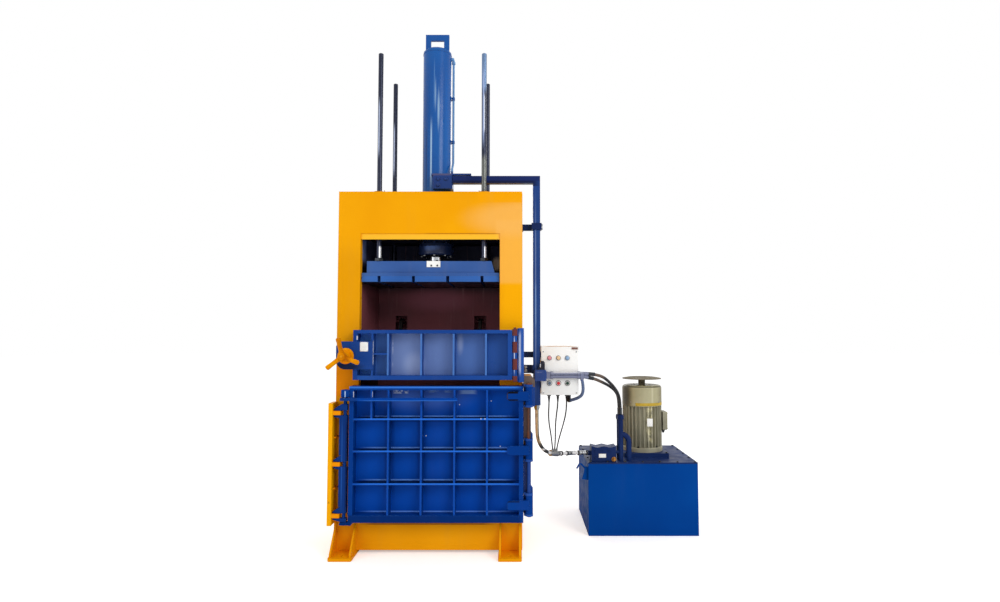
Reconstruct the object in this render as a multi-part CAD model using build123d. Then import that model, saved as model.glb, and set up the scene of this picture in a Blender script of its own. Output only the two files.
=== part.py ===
from build123d import *
import os
from math import cos, pi, radians, sin, tan

# Vertical baling press with its power pack. Millimetres, X to the right, Y to the back, Z up.
# The origin lies on the floor under the cylinder's axis.

# Frame
FRAME_HALF_W = 614.0
FRAME_HALF_D = 310.0
PLATE = 12.0
FRAME_TOP = 2378.0
COLUMN_W = 149.0
OPENING_HALF_W = FRAME_HALF_W - COLUMN_W
HEAD_BOTTOM = 2094.0
HEAD_CAP_T = 24.0
LIP_D = 40.0
HEAD_LIP_H = 38.0
HEAD_LIP_IN = 6.0
COLUMN_RIB_Z = (650.0, 1100.0, 1550.0, 2000.0)
COLUMN_RIB_T = 8.0
BACK_RIB_Z = (420.0, 900.0, 1240.0, 1760.0)
BACK_RIB_H = 80.0
BACK_RIB_D = 60.0

# Feet and base
FOOT_T = 20.0
FOOT_W = 150.0
FOOT_OUT = 150.0
FOOT_IN = 110.0
FOOT_INSET = 4.0
GUSSET_H = 185.0
GUSSET_T = 12.0
ANCHOR_R = 11.0
ANCHOR_X = FRAME_HALF_W - FOOT_INSET - FOOT_W / 2
ANCHOR_OUT = 100.0
ANCHOR_Y = FRAME_HALF_D + ANCHOR_OUT
BASE_TOP = 220.0
BASE_WEB_IN = 120.0
BASE_WEB_Y = (-FRAME_HALF_D + BASE_WEB_IN, 0.0, FRAME_HALF_D - BASE_WEB_IN)
BASE_FLANGE = 90.0

# Chamber
WALL_STEP = 5.0
WALL_HALF_W = OPENING_HALF_W + WALL_STEP
BACK_WALL_GAP = 25.0
BACK_WALL_Y = FRAME_HALF_D - BACK_WALL_GAP
FLOOR_SLAB = 24.0
PLATEN_RUN = 10.0
PLATEN_HALF_W = WALL_HALF_W - PLATEN_RUN
STRAP_SHARES = (-0.75, -0.25, 0.25, 0.75)
STRAP_X = tuple(share * PLATEN_HALF_W for share in STRAP_SHARES)
STRAP_W = 20.0

# Retaining claws behind the back wall
CLAW_SHARE = 0.652
CLAW_X = (-CLAW_SHARE * PLATEN_HALF_W, CLAW_SHARE * PLATEN_HALF_W)
CLAW_T = 24.0
CLAW_PIN_BEHIND = 55.0
CLAW_PIN_Y = BACK_WALL_Y + CLAW_PIN_BEHIND
CLAW_PIN_Z = 1520.0
CLAW_PIN_R = 8.0
CLAW_EYE_R = 22.0
CLAW_REACH = 97.0
CLAW_DROP = 70.0
CLAW_WINDOW_W = 90.0
CLAW_WINDOW_UP = 40.0
CLAW_WINDOW_DOWN = 125.0
CLAW_BOX_D = 105.0
CLAW_BOX_T = 6.0

# Cylinder
BARREL_R = 101.5
BARREL_BORE = 80.0
BARREL_BOTTOM = 2040.0
BARREL_TOP = 3450.0
GLAND_R = 125.0
GLAND_H = 60.0
GLAND_RIM_H = 22.0
GLAND_BOLTS = 8
GLAND_BOLT_R = 9.0
GLAND_BOLT_H = 10.0
GLAND_BOLT_CIRCLE = 113.0
CAP_H = 30.0
CAP_CHAMFER = 14.0
EYE_W = 171.0
EYE_H = 127.0
EYE_T = 22.0
EYE_HOLE_W = 95.0
EYE_HOLE_H = 61.0
EYE_HOLE_UP = 23.0
CYL_FLANGE_X = 380.0
CYL_FLANGE_Y = 220.0
CYL_FLANGE_T = 40.0
RAM_R = 55.0
PISTON_H = 80.0

# Pipe work on the cylinder and the square guard duct
PORT_X0 = -11.0
PORT_X1 = 130.0
PORT_UP = 58.0
PORT_H = 94.0
PORT_Z0 = FRAME_TOP + PORT_UP
PORT_Z1 = PORT_Z0 + PORT_H
PORT_FRONT = -155.0
PORT_REAR = -60.0
PORT_TOP_X1 = 260.0
BYPASS_R = 8.0
BYPASS_X = 118.0
BYPASS_DROP = 25.0
BYPASS_TOP = BARREL_TOP - BYPASS_DROP
BYPASS_RISE = 50.0
BYPASS_STEP = 110.0
DUCT_W = 50.0
DUCT_T = 4.0
DUCT_OUT = 102.0
DUCT_X = FRAME_HALF_W + DUCT_OUT
DUCT_Y = -130.0
DUCT_ARM_UP = 122.0
DUCT_ARM_Z = FRAME_TOP + DUCT_ARM_UP
DUCT_FOOT_Z = 936.0
CLAMP_DOWN = 208.0
CLAMP_Z = FRAME_TOP - CLAMP_DOWN
CLAMP_H = 45.0
LOW_BRACKET_Z = 1181.0
LOW_BRACKET_H = 58.0
BRACKET_T = 10.0
BRACKET_FOOT = 60.0

# Platen
PLATEN_BOTTOM = 1771.0
SHOE_H = 41.0
PLATEN_PLATE_T = 21.0
PLATEN_BOX_H = 80.0
PLATEN_OFF_FRONT = 25.0
PLATEN_OFF_WALL = 13.0
PLATEN_FRONT = -FRAME_HALF_D + PLATEN_OFF_FRONT
PLATEN_REAR = BACK_WALL_Y - PLATEN_OFF_WALL
PLATEN_BOX_STEP = 30.0
PLATEN_BOX_HALF_W = PLATEN_HALF_W - PLATEN_BOX_STEP
PLATEN_BOX_IN_FRONT = 10.0
PLATEN_BOX_IN_REAR = 47.0
PLATEN_BOX_FRONT = PLATEN_FRONT + PLATEN_BOX_IN_FRONT
PLATEN_BOX_REAR = PLATEN_REAR - PLATEN_BOX_IN_REAR
PLATEN_SLANT = 22.0
CLAW_GAP = 6.0
SWITCH_X0 = -27.0
SWITCH_W = 92.0
SWITCH_H = 41.0
SWITCH_T = 6.0
ROD_R = 17.0
ROD_IN = 75.0
ROD_X = PLATEN_BOX_HALF_W - ROD_IN
ROD_OFF_FRAME = 55.0
ROD_Y = FRAME_HALF_D - ROD_OFF_FRAME
ROD_TOP = 3349.0
BUSH_R = 27.0
BUSH_RIM_R = 40.0
BUSH_RIM_H = 8.0
BUSH_L = 44.0
ROD_PASS = 5.0
RAM_FOOT_R = 90.0
RAM_FOOT_H = 22.0

# Doors
DOOR_GAP = 2.0
DOOR_T = 93.0
DOOR_BACK = -FRAME_HALF_D - DOOR_GAP
DOOR_FRONT = DOOR_BACK - DOOR_T
DOOR_SKIN = 10.0
RIB_T = 12.0
STILE_T = 28.0
TOP_RAIL_H = 23.0
UPPER_LAP = 15.0
UPPER_INSET = 66.0
UPPER_X0 = -OPENING_HALF_W - UPPER_LAP
UPPER_X1 = FRAME_HALF_W - UPPER_INSET
UPPER_Z0 = 1128.0
UPPER_H = 322.0
UPPER_Z1 = UPPER_Z0 + UPPER_H
UPPER_RIB_SHARES = (0.219, 0.428, 0.632, 0.8356)
UPPER_RIB_X = tuple(UPPER_X0 + share * (UPPER_X1 - UPPER_X0) for share in UPPER_RIB_SHARES)
LOWER_LEFT_INSET = 114.0
LOWER_RIGHT_LAP = 6.0
LOWER_X0 = -FRAME_HALF_W + LOWER_LEFT_INSET
LOWER_X1 = FRAME_HALF_W + LOWER_RIGHT_LAP
LOWER_OFF_BASE = 3.0
DOOR_SPLIT = 42.0
LOWER_Z0 = BASE_TOP + LOWER_OFF_BASE
LOWER_Z1 = UPPER_Z0 - DOOR_SPLIT
LOWER_RIB_SHARES = (0.225, 0.4143, 0.6045, 0.792)
LOWER_RIB_X = tuple(LOWER_X0 + share * (LOWER_X1 - LOWER_X0) for share in LOWER_RIB_SHARES)
LOWER_RIB_UP = (242.0, 449.0, 653.0)
LOWER_RIB_Z = tuple(LOWER_Z0 + height for height in LOWER_RIB_UP)
LOWER_SILL_H = 45.0
SHORT_RIB_IN = 143.0
SHORT_RIB_X = LOWER_X0 + SHORT_RIB_IN
STIFFENER_UP = 167.0
STIFFENER_Z = UPPER_Z0 + STIFFENER_UP
TOE_DROP = 19.0
TOE_W = 34.0

# Upper hinge
UPPER_HINGE_OUT = 18.0
UPPER_HINGE_X = UPPER_X1 + UPPER_HINGE_OUT
UPPER_HINGE_IN = 12.0
UPPER_HINGE_Y = DOOR_FRONT + UPPER_HINGE_IN
UPPER_PIN_R = 9.0
UPPER_KNUCKLE_R = 16.0
UPPER_KNUCKLE_H = 38.0
UPPER_KNUCKLE_UP = (45.0, 155.0, 265.0)
UPPER_KNUCKLE_Z = tuple(UPPER_Z0 + height for height in UPPER_KNUCKLE_UP)
POST_OUT = 11.0
POST_X1 = FRAME_HALF_W + POST_OUT
POST_END = 6.0
POST_IN = 13.0
POST_DOWN = 16.0
POST_UP = 12.0
POST_FRONT = DOOR_FRONT + POST_IN
POST_Z0 = UPPER_Z0 - POST_DOWN
POST_Z1 = UPPER_Z1 + POST_UP
POST_ROUND = 16.0
HINGE_RUN = 0.05
HINGE_END = 1.0

# Lower hinge
LOWER_HINGE_OUT = 37.0
LOWER_HINGE_X = LOWER_X1 + LOWER_HINGE_OUT
LOWER_HINGE_IN = 17.0
LOWER_HINGE_Y = DOOR_FRONT + LOWER_HINGE_IN
LOWER_PIN_R = 12.0
LOWER_KNUCKLE_R = 23.0
LOWER_KNUCKLE_H = 115.0
LOWER_KNUCKLE_UP = (112.0, 457.0, 802.0)
LOWER_KNUCKLE_Z = tuple(LOWER_Z0 + height for height in LOWER_KNUCKLE_UP)
STRAP_HINGE_T = 14.0
STRAP_HINGE_H = 58.0
STRAP_HINGE_L = 105.0
STRAP_HINGE_X0 = LOWER_X1 - STRAP_HINGE_L
LUG_T = 14.0
LUG_H_GAP = 1.0
LUG_PLATE_T = 14.0
LUG_PLATE_UP = 80.0
LUG_PLATE_GAP = 5.0
LUG_PLATE_CUT_X = 30.0
LUG_PLATE_CUT_Z = 42.0
TOP_LUG_LAP = 14.0
STRIP_OUT = 11.0
LUG_NOSE = 40.0
LUG_ROOT = 110.0

# Upper door's screw lock
LATCH_IN = 28.0
LATCH_LAP = 129.0
LATCH_DOWN = 87.0
LATCH_UP = 93.0
LATCH_T = 12.0
LATCH_ROUND = 60.0
LATCH_TOP_CUT = 30.0
WHEEL_IN = 94.0
WHEEL_X = -FRAME_HALF_W + WHEEL_IN
WHEEL_UP = 155.0
WHEEL_Z = UPPER_Z0 + WHEEL_UP
LATCH_X0 = -FRAME_HALF_W + LATCH_IN
LATCH_X1 = UPPER_X0 + LATCH_LAP
LATCH_Z0 = WHEEL_Z - LATCH_DOWN
LATCH_Z1 = WHEEL_Z + LATCH_UP
SCREW_R = 11.0
SCREW_BOSS_R = 22.0
SCREW_BOSS_L = 66.0
WHEEL_DISC_R = 51.5
WHEEL_DISC_T = 22.0
WHEEL_HUB_R = 26.0
WHEEL_HUB_L = 116.0
WHEEL_ARMS = 3
WHEEL_ARM_START = 100.0
WHEEL_ARM_REACH = 118.0
WHEEL_ARM_RAKE = 28.0
WHEEL_ARM_R = 13.5
TEE_L = 70.0
TEE_W = 18.0
TEE_T = 18.0
KEEPER_W = 80.0
KEEPER_H = 130.0
KEEPER_T = 16.0
KEEPER_SLOT_W = 28.0
KEEPER_SLOT_H = 84.0
FASCIA_HOLE_R = 46.0

# Lower door's turning lock
LOCK_OUT = 28.0
LOCK_X = LOWER_X0 - LOCK_OUT
LOCK_IN = 13.0
LOCK_Y = DOOR_FRONT + LOCK_IN
LOCK_CORE_R = 11.0
LOCK_BOX_OUT = 33.0
LOCK_BOX_IN = 17.0
LOCK_BOX_X0 = LOCK_X - LOCK_BOX_OUT
LOCK_BOX_X1 = LOCK_X + LOCK_BOX_IN
LOCK_BOX_HALF_D = 18.0
LOCK_DROP = 20.0
LOCK_UNDER = 18.0
LOCK_TOP = LOWER_Z1 - LOCK_DROP
LOCK_BOTTOM = LOWER_Z0 - LOCK_UNDER
FINGER_UP = (44.0, 369.0, 694.0)
FINGER_Z = tuple(LOWER_Z0 + height for height in FINGER_UP)
FINGER_T = 26.0
FINGER_GAP = 25.0
FINGER_X1 = LOCK_X - FINGER_GAP
FINGER_HALF_D = 20.0
FINGER_FRONT = LOCK_Y - FINGER_HALF_D
FINGER_REAR = LOCK_Y + FINGER_HALF_D
FINGER_CLEAR = 3.0
JAW_REACH = 70.0
JAW_X0 = LOCK_X - JAW_REACH
JAW_TIP_H = 9.0
JAW_ROOT_H = 40.0
JAW_LOW_ROOT_H = 20.0
JAW_TIP_HALF = 8.0
KEEP_BAR_W = 27.0
KEEP_BAR_GAP = 5.0
KEEP_BAR_X1 = JAW_X0 - KEEP_BAR_GAP
KEEP_BAR_X0 = KEEP_BAR_X1 - KEEP_BAR_W
KEEP_BAR_LEAD = 23.0
KEEP_BAR_UNDER = 17.0
KEEP_BAR_OVER = 63.0
KEEP_BAR_FRONT = LOCK_Y - KEEP_BAR_LEAD
KEEP_BAR_Z0 = LOWER_Z0 - KEEP_BAR_UNDER
KEEP_BAR_Z1 = FINGER_Z[-1] + KEEP_BAR_OVER
STUB_T = 10.0
STUB_L = 13.0
HUB_DROP = 71.0
HUB_H = 18.0
HUB_Z1 = LOWER_Z1 - HUB_DROP
HUB_Z0 = HUB_Z1 - HUB_H
HANDLE_L = 727.0
HANDLE_X1 = LOCK_X + HANDLE_L
HANDLE_LEAD = 48.0
HANDLE_FRONT = LOCK_Y - HANDLE_LEAD
HANDLE_T = 18.0
BEARING_H = 46.0
BEARING_LOW_H = 18.0

# Control box
CBOX_OFF_DUCT = 5.0
CBOX_W = 254.0
CBOX_X0 = DUCT_X + DUCT_W / 2 + CBOX_OFF_DUCT
CBOX_X1 = CBOX_X0 + CBOX_W
CBOX_FRONT = -170.0
CBOX_REAR = -20.0
CBOX_Z0 = 1008.0
CBOX_Z1 = 1342.0
CBOX_T = 3.0
COVER_T = 8.0
LAMP_IN = (56.0, 117.0, 178.0)
LAMP_X = tuple(CBOX_X0 + offset for offset in LAMP_IN)
LAMP_Z = 1260.0
LAMP_R = 13.0
LAMP_OUT = 16.0
BUTTON_Z = 1088.0
BUTTON_R = 11.0
BUTTON_OUT = 10.0
COLLAR_R = 15.0
COLLAR_H = 4.0
BUTTON_CLEAR = 0.3
GLAND_HEX_R = 13.0
GLAND_NUT_H = 14.0
BOX_BAR_Y0 = -95.0
BOX_BAR_Y1 = -60.0
BOX_BAR_Z = (1070.0, 1280.0)
BOX_BAR_H = 40.0

# Hose block and arm pipes
HBLOCK_W = 82.0
HBLOCK_X0 = DUCT_X - 20.0
HBLOCK_X1 = HBLOCK_X0 + HBLOCK_W
HBLOCK_FRONT = -216.0
HBLOCK_REAR = -173.0
HBLOCK_Z0 = 1106.0
HBLOCK_Z1 = 1180.0
ARM_L = 262.0
ARM_X1 = HBLOCK_X1 + ARM_L
ARM_Y = -195.0
ARM_Z = (1155.0, 1133.0)
ARM_R = 10.5
ARM_NUT_R = 12.5
ARM_NUT_L = 26.0
SWIVEL_L = 24.0
TEE_BACK = 18.0
TEE_X = ARM_X1 - TEE_BACK
PLUG_IN = 56.0
PLUG_X = HBLOCK_X0 + PLUG_IN
PLUG_R = 14.0
PLUG_H = 60.0

# Power pack
TANK_OFF_ARM = 46.0
TANK_W = 778.0
TANK_D = 660.0
TANK_X0 = ARM_X1 + TANK_OFF_ARM
TANK_X1 = TANK_X0 + TANK_W
TANK_Y0 = 24.0
TANK_Y1 = TANK_Y0 + TANK_D
TANK_H = 502.0
TANK_T = 5.0
LID_T = 10.0
MOTOR_IN_X = 453.0
MOTOR_IN_Y = 331.0
MOTOR_X = TANK_X0 + MOTOR_IN_X
MOTOR_Y = TANK_Y0 + MOTOR_IN_Y
PEDESTAL_W = 330.0
PEDESTAL_H = 32.0
MOTOR_FLANGE_R = 150.0
MOTOR_FLANGE_H = 34.0
MOTOR_BODY_R = 122.0
MOTOR_FIN_R = 146.0
MOTOR_FINS = 30
MOTOR_FIN_T = 5.0
MOTOR_BODY_H = 304.0
MOTOR_WALL = 14.0
FAN_COVER_H = 153.0
FAN_COVER_R = 147.5
FAN_COVER_T = 3.0
FAN_COVER_ROUND = 22.0
FAN_VENTS = 12
VENT_R0 = 50.0
VENT_R1 = 110.0
VENT_W = 12.0
CANOPY_R = 146.0
CANOPY_UP = 46.0
CANOPY_T = 5.0
CANOPY_POST_R = 26.0
SHAFT_R = 21.0
SHAFT_RUN = 0.05
ROTOR_R = 88.0
ROTOR_H = 170.0
FAN_R = 120.0
FAN_BLADES = 7
FAN_HUB_R = 36.0
TBOX_OUT = 176.0
TBOX_X1 = MOTOR_X + TBOX_OUT
TBOX_UP = 119.0
TBOX_H = 136.0
TBOX_HALF_D = 55.0
BELL_R = 95.0
BELL_H = 110.0
BELL_WALL = 12.0
PUMP_H = 110.0
PUMP_HALF = 55.0
SUCTION_L = 90.0
SUCTION_R = 20.0

# Valve block, risers and tank trim
TANK_TOP = TANK_H + LID_T
VALVE_IN = 27.0
VALVE_W = 176.0
VALVE_D = 115.0
VALVE_H = 109.0
VALVE_X0 = TANK_X0 + VALVE_IN
VALVE_X1 = VALVE_X0 + VALVE_W
VALVE_Y0 = TANK_Y0 + 26.0
VALVE_Y1 = VALVE_Y0 + VALVE_D
VALVE_Z1 = TANK_TOP + VALVE_H
VALVE_WAVE = 9.0
RISER_OFF = 40.0
RISER_X = VALVE_X1 + RISER_OFF
RISER_IN_Y = (71.0, 126.0)
RISER_Y = tuple(TANK_Y0 + offset for offset in RISER_IN_Y)
RISER_R = 19.0
RISER_H = (328.0, 323.0)
RISER_TOP = tuple(TANK_TOP + height for height in RISER_H)
RISER_NUT_R = 23.0
RISER_NUT_H = 34.0
HOOK_R = 6.0
LUG_REACH = 42.0
LUG_DROP = 118.0
LUG_IN_Y = 20.0
LUG_THICK = 14.0
HOOK_ROOT = 18.0
HOOK_CREST = 56.0
HOOK_TIP = 80.0
HOOK_LOW = 38.0
BRANCH_OFF = 59.0
BRANCH_UP = 188.0
BRANCH_X = RISER_X + BRANCH_OFF
BRANCH_Z = TANK_TOP + BRANCH_UP
BRANCH_BEND = 56.0

# Cords
HOSE_R = 10.5
RETURN_R = 12.0
RETURN_NUT_L = 20.0
RETURN_UP = 52.0
RETURN_IN_Y = 60.0
CABLE_R = 4.5
CABLE_NECK = 6.0
CABLE_TOP = CBOX_Z0 - GLAND_NUT_H - CABLE_NECK
CABLE_Y = -100.0
CONDUIT_R = 10.0
CONDUIT_DROP = 24.0
COLLAR_L = 78.0
COLLAR_OUT_R = 21.0
COLLAR_SHARE = 0.6

# Derived values
FASCIA_BACK = -FRAME_HALF_D + PLATE
COLUMN_IN = WALL_HALF_W + PLATE
FLOOR_TOP = BASE_TOP
FLOOR_PLATE_Z0 = FLOOR_TOP - FLOOR_SLAB - PLATE
PLATE_TOP = PLATEN_BOTTOM + SHOE_H + PLATEN_PLATE_T
BOX_TOP = PLATE_TOP + PLATEN_BOX_H
GLAND_BOTTOM = BARREL_BOTTOM - GLAND_H
FLANGE_TOP = FRAME_TOP - HEAD_CAP_T
PEDESTAL_TOP = TANK_TOP + PEDESTAL_H
MOTOR_Z0 = PEDESTAL_TOP + MOTOR_FLANGE_H
MOTOR_Z1 = MOTOR_Z0 + MOTOR_BODY_H
FAN_TOP = MOTOR_Z1 + FAN_COVER_H
CANOPY_Z = FAN_TOP + CANOPY_UP
TBOX_Z0 = MOTOR_Z0 + TBOX_UP
TBOX_Z1 = TBOX_Z0 + TBOX_H


def block(x0, x1, y0, y1, z0, z1):
    """A box between two corners."""
    centre = Pos((x0 + x1) / 2, (y0 + y1) / 2, (z0 + z1) / 2)
    return centre * Box(x1 - x0, y1 - y0, z1 - z0)


def post(x, y, z0, z1, radius):
    """An upright round bar."""
    return Pos(x, y, (z0 + z1) / 2) * Cylinder(radius, z1 - z0)


def bar_x(x0, x1, y, z, radius):
    """A round bar along X."""
    return Pos((x0 + x1) / 2, y, z) * Rot(0, 90, 0) * Cylinder(radius, x1 - x0)


def bar_y(x, y0, y1, z, radius):
    """A round bar along Y."""
    return Pos(x, (y0 + y1) / 2, z) * Rot(90, 0, 0) * Cylinder(radius, y1 - y0)


def slab_xz(points, y0, y1):
    """A plate cut to an outline in X and Z, from y0 to y1."""
    outline = make_face(Polyline(*[(x, y0, z) for x, z in points], close=True))
    return extrude(outline, amount=y1 - y0, dir=(0, 1, 0))


def slab_yz(points, x0, x1):
    """A plate cut to an outline in Y and Z, from x0 to x1."""
    outline = make_face(Polyline(*[(x0, y, z) for y, z in points], close=True))
    return extrude(outline, amount=x1 - x0, dir=(1, 0, 0))


def slab_xy(points, z0, z1):
    """A plate cut to an outline in X and Y, from z0 to z1."""
    outline = make_face(Polyline(*[(x, y, z0) for x, y in points], close=True))
    return extrude(outline, amount=z1 - z0, dir=(0, 0, 1))


def fuse(pieces):
    """One solid from pieces that touch."""
    whole = pieces[0]
    for piece in pieces[1:]:
        whole = whole + piece
    return whole


def group(pieces):
    """Separate solids that share one node."""
    return Compound([solid for piece in pieces for solid in piece.solids()])


def both_sides(piece):
    """A piece and its mirror image across the machine's middle."""
    return [piece, mirror(piece, about=Plane.YZ)]


def spigot(at, direction, radius, length):
    """A round bar that starts at a point and runs along a direction."""
    plane = Plane(origin=at, z_dir=direction)
    return extrude(plane * Circle(radius), amount=length)


def route(start, end, shares):
    """A route's points: its ends, and between them shares of the way along X, Y and Z."""
    steps = [(0, 0, 0)] + shares + [(1, 1, 1)]
    return [tuple(a + share * (b - a) for a, b, share in zip(start, end, step)) for step in steps]


def lead_off(points, length):
    """The same route, started a fitting's length along its first run."""
    first, second = Vector(*points[0]), Vector(*points[1])
    return [first + (second - first).normalized() * length] + [Vector(*p) for p in points[1:]]


def cord(name, points, radius):
    """A free cord's tube: straight runs joined by tangent arcs."""
    spots = [Vector(*p) if isinstance(p, tuple) else p for p in points]
    runs = [b - a for a, b in zip(spots, spots[1:])]
    radii = []
    for before, after in zip(runs, runs[1:]):
        half_turn = radians(before.get_angle(after)) / 2
        radii.append(0.45 * min(before.length, after.length) / tan(half_turn))
    path = FilletPolyline(*spots, radius=radii)
    start = Plane(origin=spots[0], z_dir=runs[0])
    tube = sweep(start * Circle(radius), path=path)
    expected = pi * radius ** 2 * path.length
    print(f"{name}: starts {[round(v, 1) for v in spots[0]]}, length {path.length:.0f},",
          f"radii {[round(r) for r in radii]}, volume {tube.volume / expected:.4f}",
          "of section times length")
    return tube


# Routes of the cords

PRESSURE_FRONT = route((ARM_X1, ARM_Y, ARM_Z[0]), (RISER_X, RISER_Y[0], RISER_TOP[0]), [
    (0.235, 0.052, 0.019), (0.457, 0.190, 0.079), (0.630, 0.414, 0.203), (0.789, 0.645, 0.340),
    (0.927, 0.838, 0.511), (1, 1, 0.730),
])
PRESSURE_REAR = route((ARM_X1, ARM_Y, ARM_Z[1]), (RISER_X, RISER_Y[1], RISER_TOP[1]), [
    (0.228, 0.101, 0.047), (0.450, 0.333, 0.144), (0.702, 0.594, 0.272), (0.920, 0.849, 0.446),
    (1, 1, 0.698),
])
RETURN_ROUTE = route((DUCT_X, DUCT_Y, DUCT_FOOT_Z),
                     (VALVE_X0 - RETURN_NUT_L, VALVE_Y0 + RETURN_IN_Y, TANK_TOP + RETURN_UP), [
    (0, 0, 0.339), (0.013, 0.0125, 0.661), (0.164, 0.200, 0.898), (0.435, 0.625, 0.968),
    (0.753, 1, 1),
])
COLLAR_RUN = Vector(*RETURN_ROUTE[4]) - Vector(*RETURN_ROUTE[3])
COLLAR_AT = Vector(*RETURN_ROUTE[3]) + COLLAR_RUN * COLLAR_SHARE
CABLE_LEFT = route((LAMP_X[0], CABLE_Y, CABLE_TOP), tuple(COLLAR_AT + Vector(-10.2, -17.2, 33.6)), [
    (0, 0, 0.144), (-0.148, 0.129, 0.326), (0.037, 0.323, 0.511), (0.481, 0.565, 0.693),
    (0.815, 0.823, 0.864),
])
CABLE_MIDDLE = route((LAMP_X[1], CABLE_Y, CABLE_TOP), tuple(COLLAR_AT + Vector(5.8, -1.2, 30.6)), [
    (0, 0, 0.140), (0.5, 0.103, 0.321), (0.833, 0.269, 0.501), (0.833, 0.513, 0.679),
    (0.833, 0.782, 0.852),
])
CABLE_RIGHT = route((LAMP_X[2], CABLE_Y, CABLE_TOP), tuple(COLLAR_AT + Vector(21.8, 12.8, 28.6)), [
    (0, 0, 0.137), (0.079, 0.130, 0.314), (0.302, 0.315, 0.488), (0.571, 0.533, 0.662),
    (0.841, 0.772, 0.836),
])
CONDUIT_START = Vector(TEE_X, ARM_Y, ARM_Z[1] - CONDUIT_DROP)
CONDUIT = [tuple(CONDUIT_START + Vector(*step)) for step in
           ((0, 0, 0), (13, 5, -61), (-6, 53, -125), (-68, 123, -147))]


# Fixed frame

def base_frame():
    """Welded base: four side plates, bottom flanges and three cross webs."""
    outer = block(-FRAME_HALF_W, FRAME_HALF_W, -FRAME_HALF_D, FRAME_HALF_D, FOOT_T, BASE_TOP)
    inner = block(-FRAME_HALF_W + PLATE, FRAME_HALF_W - PLATE, -FRAME_HALF_D + PLATE,
                  FRAME_HALF_D - PLATE, FOOT_T + PLATE, BASE_TOP)
    gap = block(-FRAME_HALF_W + BASE_FLANGE, FRAME_HALF_W - BASE_FLANGE,
                -FRAME_HALF_D + BASE_FLANGE, FRAME_HALF_D - BASE_FLANGE, FOOT_T, BASE_TOP)
    base = outer - inner - gap
    for y in BASE_WEB_Y:
        base += block(-FRAME_HALF_W + PLATE, FRAME_HALF_W - PLATE, y - PLATE / 2, y + PLATE / 2,
                      FOOT_T + PLATE, FLOOR_PLATE_Z0)
    return base


def foot(side, end):
    """One outrigger foot: a drilled plate with two upright gussets."""
    face = end * FRAME_HALF_D
    outer = face + end * FOOT_OUT
    y0, y1 = sorted((outer, face - end * FOOT_IN))
    x_out = FRAME_HALF_W - FOOT_INSET
    x0, x1 = sorted((side * x_out, side * (x_out - FOOT_W)))
    plate = block(x0, x1, y0, y1, 0, FOOT_T)
    outer_edges = plate.edges().filter_by(Axis.Z).group_by(Axis.Y)[-1 if end > 0 else 0]
    plate = fillet(outer_edges, 12)
    toe = outer - end * 14
    outline = [(face, FOOT_T), (toe, FOOT_T), (toe, FOOT_T + 18), (face, FOOT_T + GUSSET_H)]
    gussets = [slab_yz(outline, x - GUSSET_T / 2, x + GUSSET_T / 2)
               for x in (x0 + GUSSET_T, x1 - GUSSET_T)]
    return fuse([plate] + gussets) - post(side * ANCHOR_X, end * ANCHOR_Y, 0, FOOT_T, ANCHOR_R)


def floor_feet():
    return group([foot(side, end) for side in (-1, 1) for end in (-1, 1)])


def front_portal():
    """Fascia plate with the feed opening and its folded edges."""
    plate = block(-FRAME_HALF_W, FRAME_HALF_W, -FRAME_HALF_D, FASCIA_BACK, BASE_TOP, FRAME_TOP)
    plate -= block(-OPENING_HALF_W, OPENING_HALF_W, -FRAME_HALF_D, FASCIA_BACK,
                   BASE_TOP, HEAD_BOTTOM)
    lips = both_sides(block(OPENING_HALF_W, OPENING_HALF_W + PLATE, FASCIA_BACK,
                            FASCIA_BACK + LIP_D, BASE_TOP, HEAD_BOTTOM))
    lip_front = -FRAME_HALF_D + HEAD_LIP_IN
    head_lip = block(-OPENING_HALF_W, OPENING_HALF_W, lip_front, lip_front + PLATE,
                     HEAD_BOTTOM - HEAD_LIP_H, HEAD_BOTTOM)
    plate = fuse([plate, head_lip] + lips)
    return plate - bar_y(WHEEL_X, -FRAME_HALF_D, FASCIA_BACK, WHEEL_Z, FASCIA_HOLE_R)


def side_columns():
    """Outer plates of both columns with their inside ribs."""
    outer = block(FRAME_HALF_W - PLATE, FRAME_HALF_W, FASCIA_BACK, -FASCIA_BACK,
                  BASE_TOP, FRAME_TOP)
    ribs = [block(COLUMN_IN, FRAME_HALF_W - PLATE, FASCIA_BACK, -FASCIA_BACK,
                  z, z + COLUMN_RIB_T) for z in COLUMN_RIB_Z]
    return group(both_sides(fuse([outer] + ribs)))


def rear_portal():
    """Rear frame plate, open over the chamber's back wall, with cross ribs."""
    y0, y1 = -FASCIA_BACK, FRAME_HALF_D
    plate = block(-FRAME_HALF_W, FRAME_HALF_W, y0, y1, BASE_TOP, FRAME_TOP)
    plate -= block(-OPENING_HALF_W, OPENING_HALF_W, y0, y1, BASE_TOP, HEAD_BOTTOM)
    ribs = []
    for z in BACK_RIB_Z:
        channel = block(-FRAME_HALF_W, FRAME_HALF_W, y1, y1 + BACK_RIB_D, z, z + BACK_RIB_H)
        channel -= block(-FRAME_HALF_W, FRAME_HALF_W, y1, y1 + BACK_RIB_D - PLATE / 2,
                         z + PLATE / 2, z + BACK_RIB_H - PLATE / 2)
        ribs.append(channel)
    return fuse([plate] + ribs)


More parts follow.
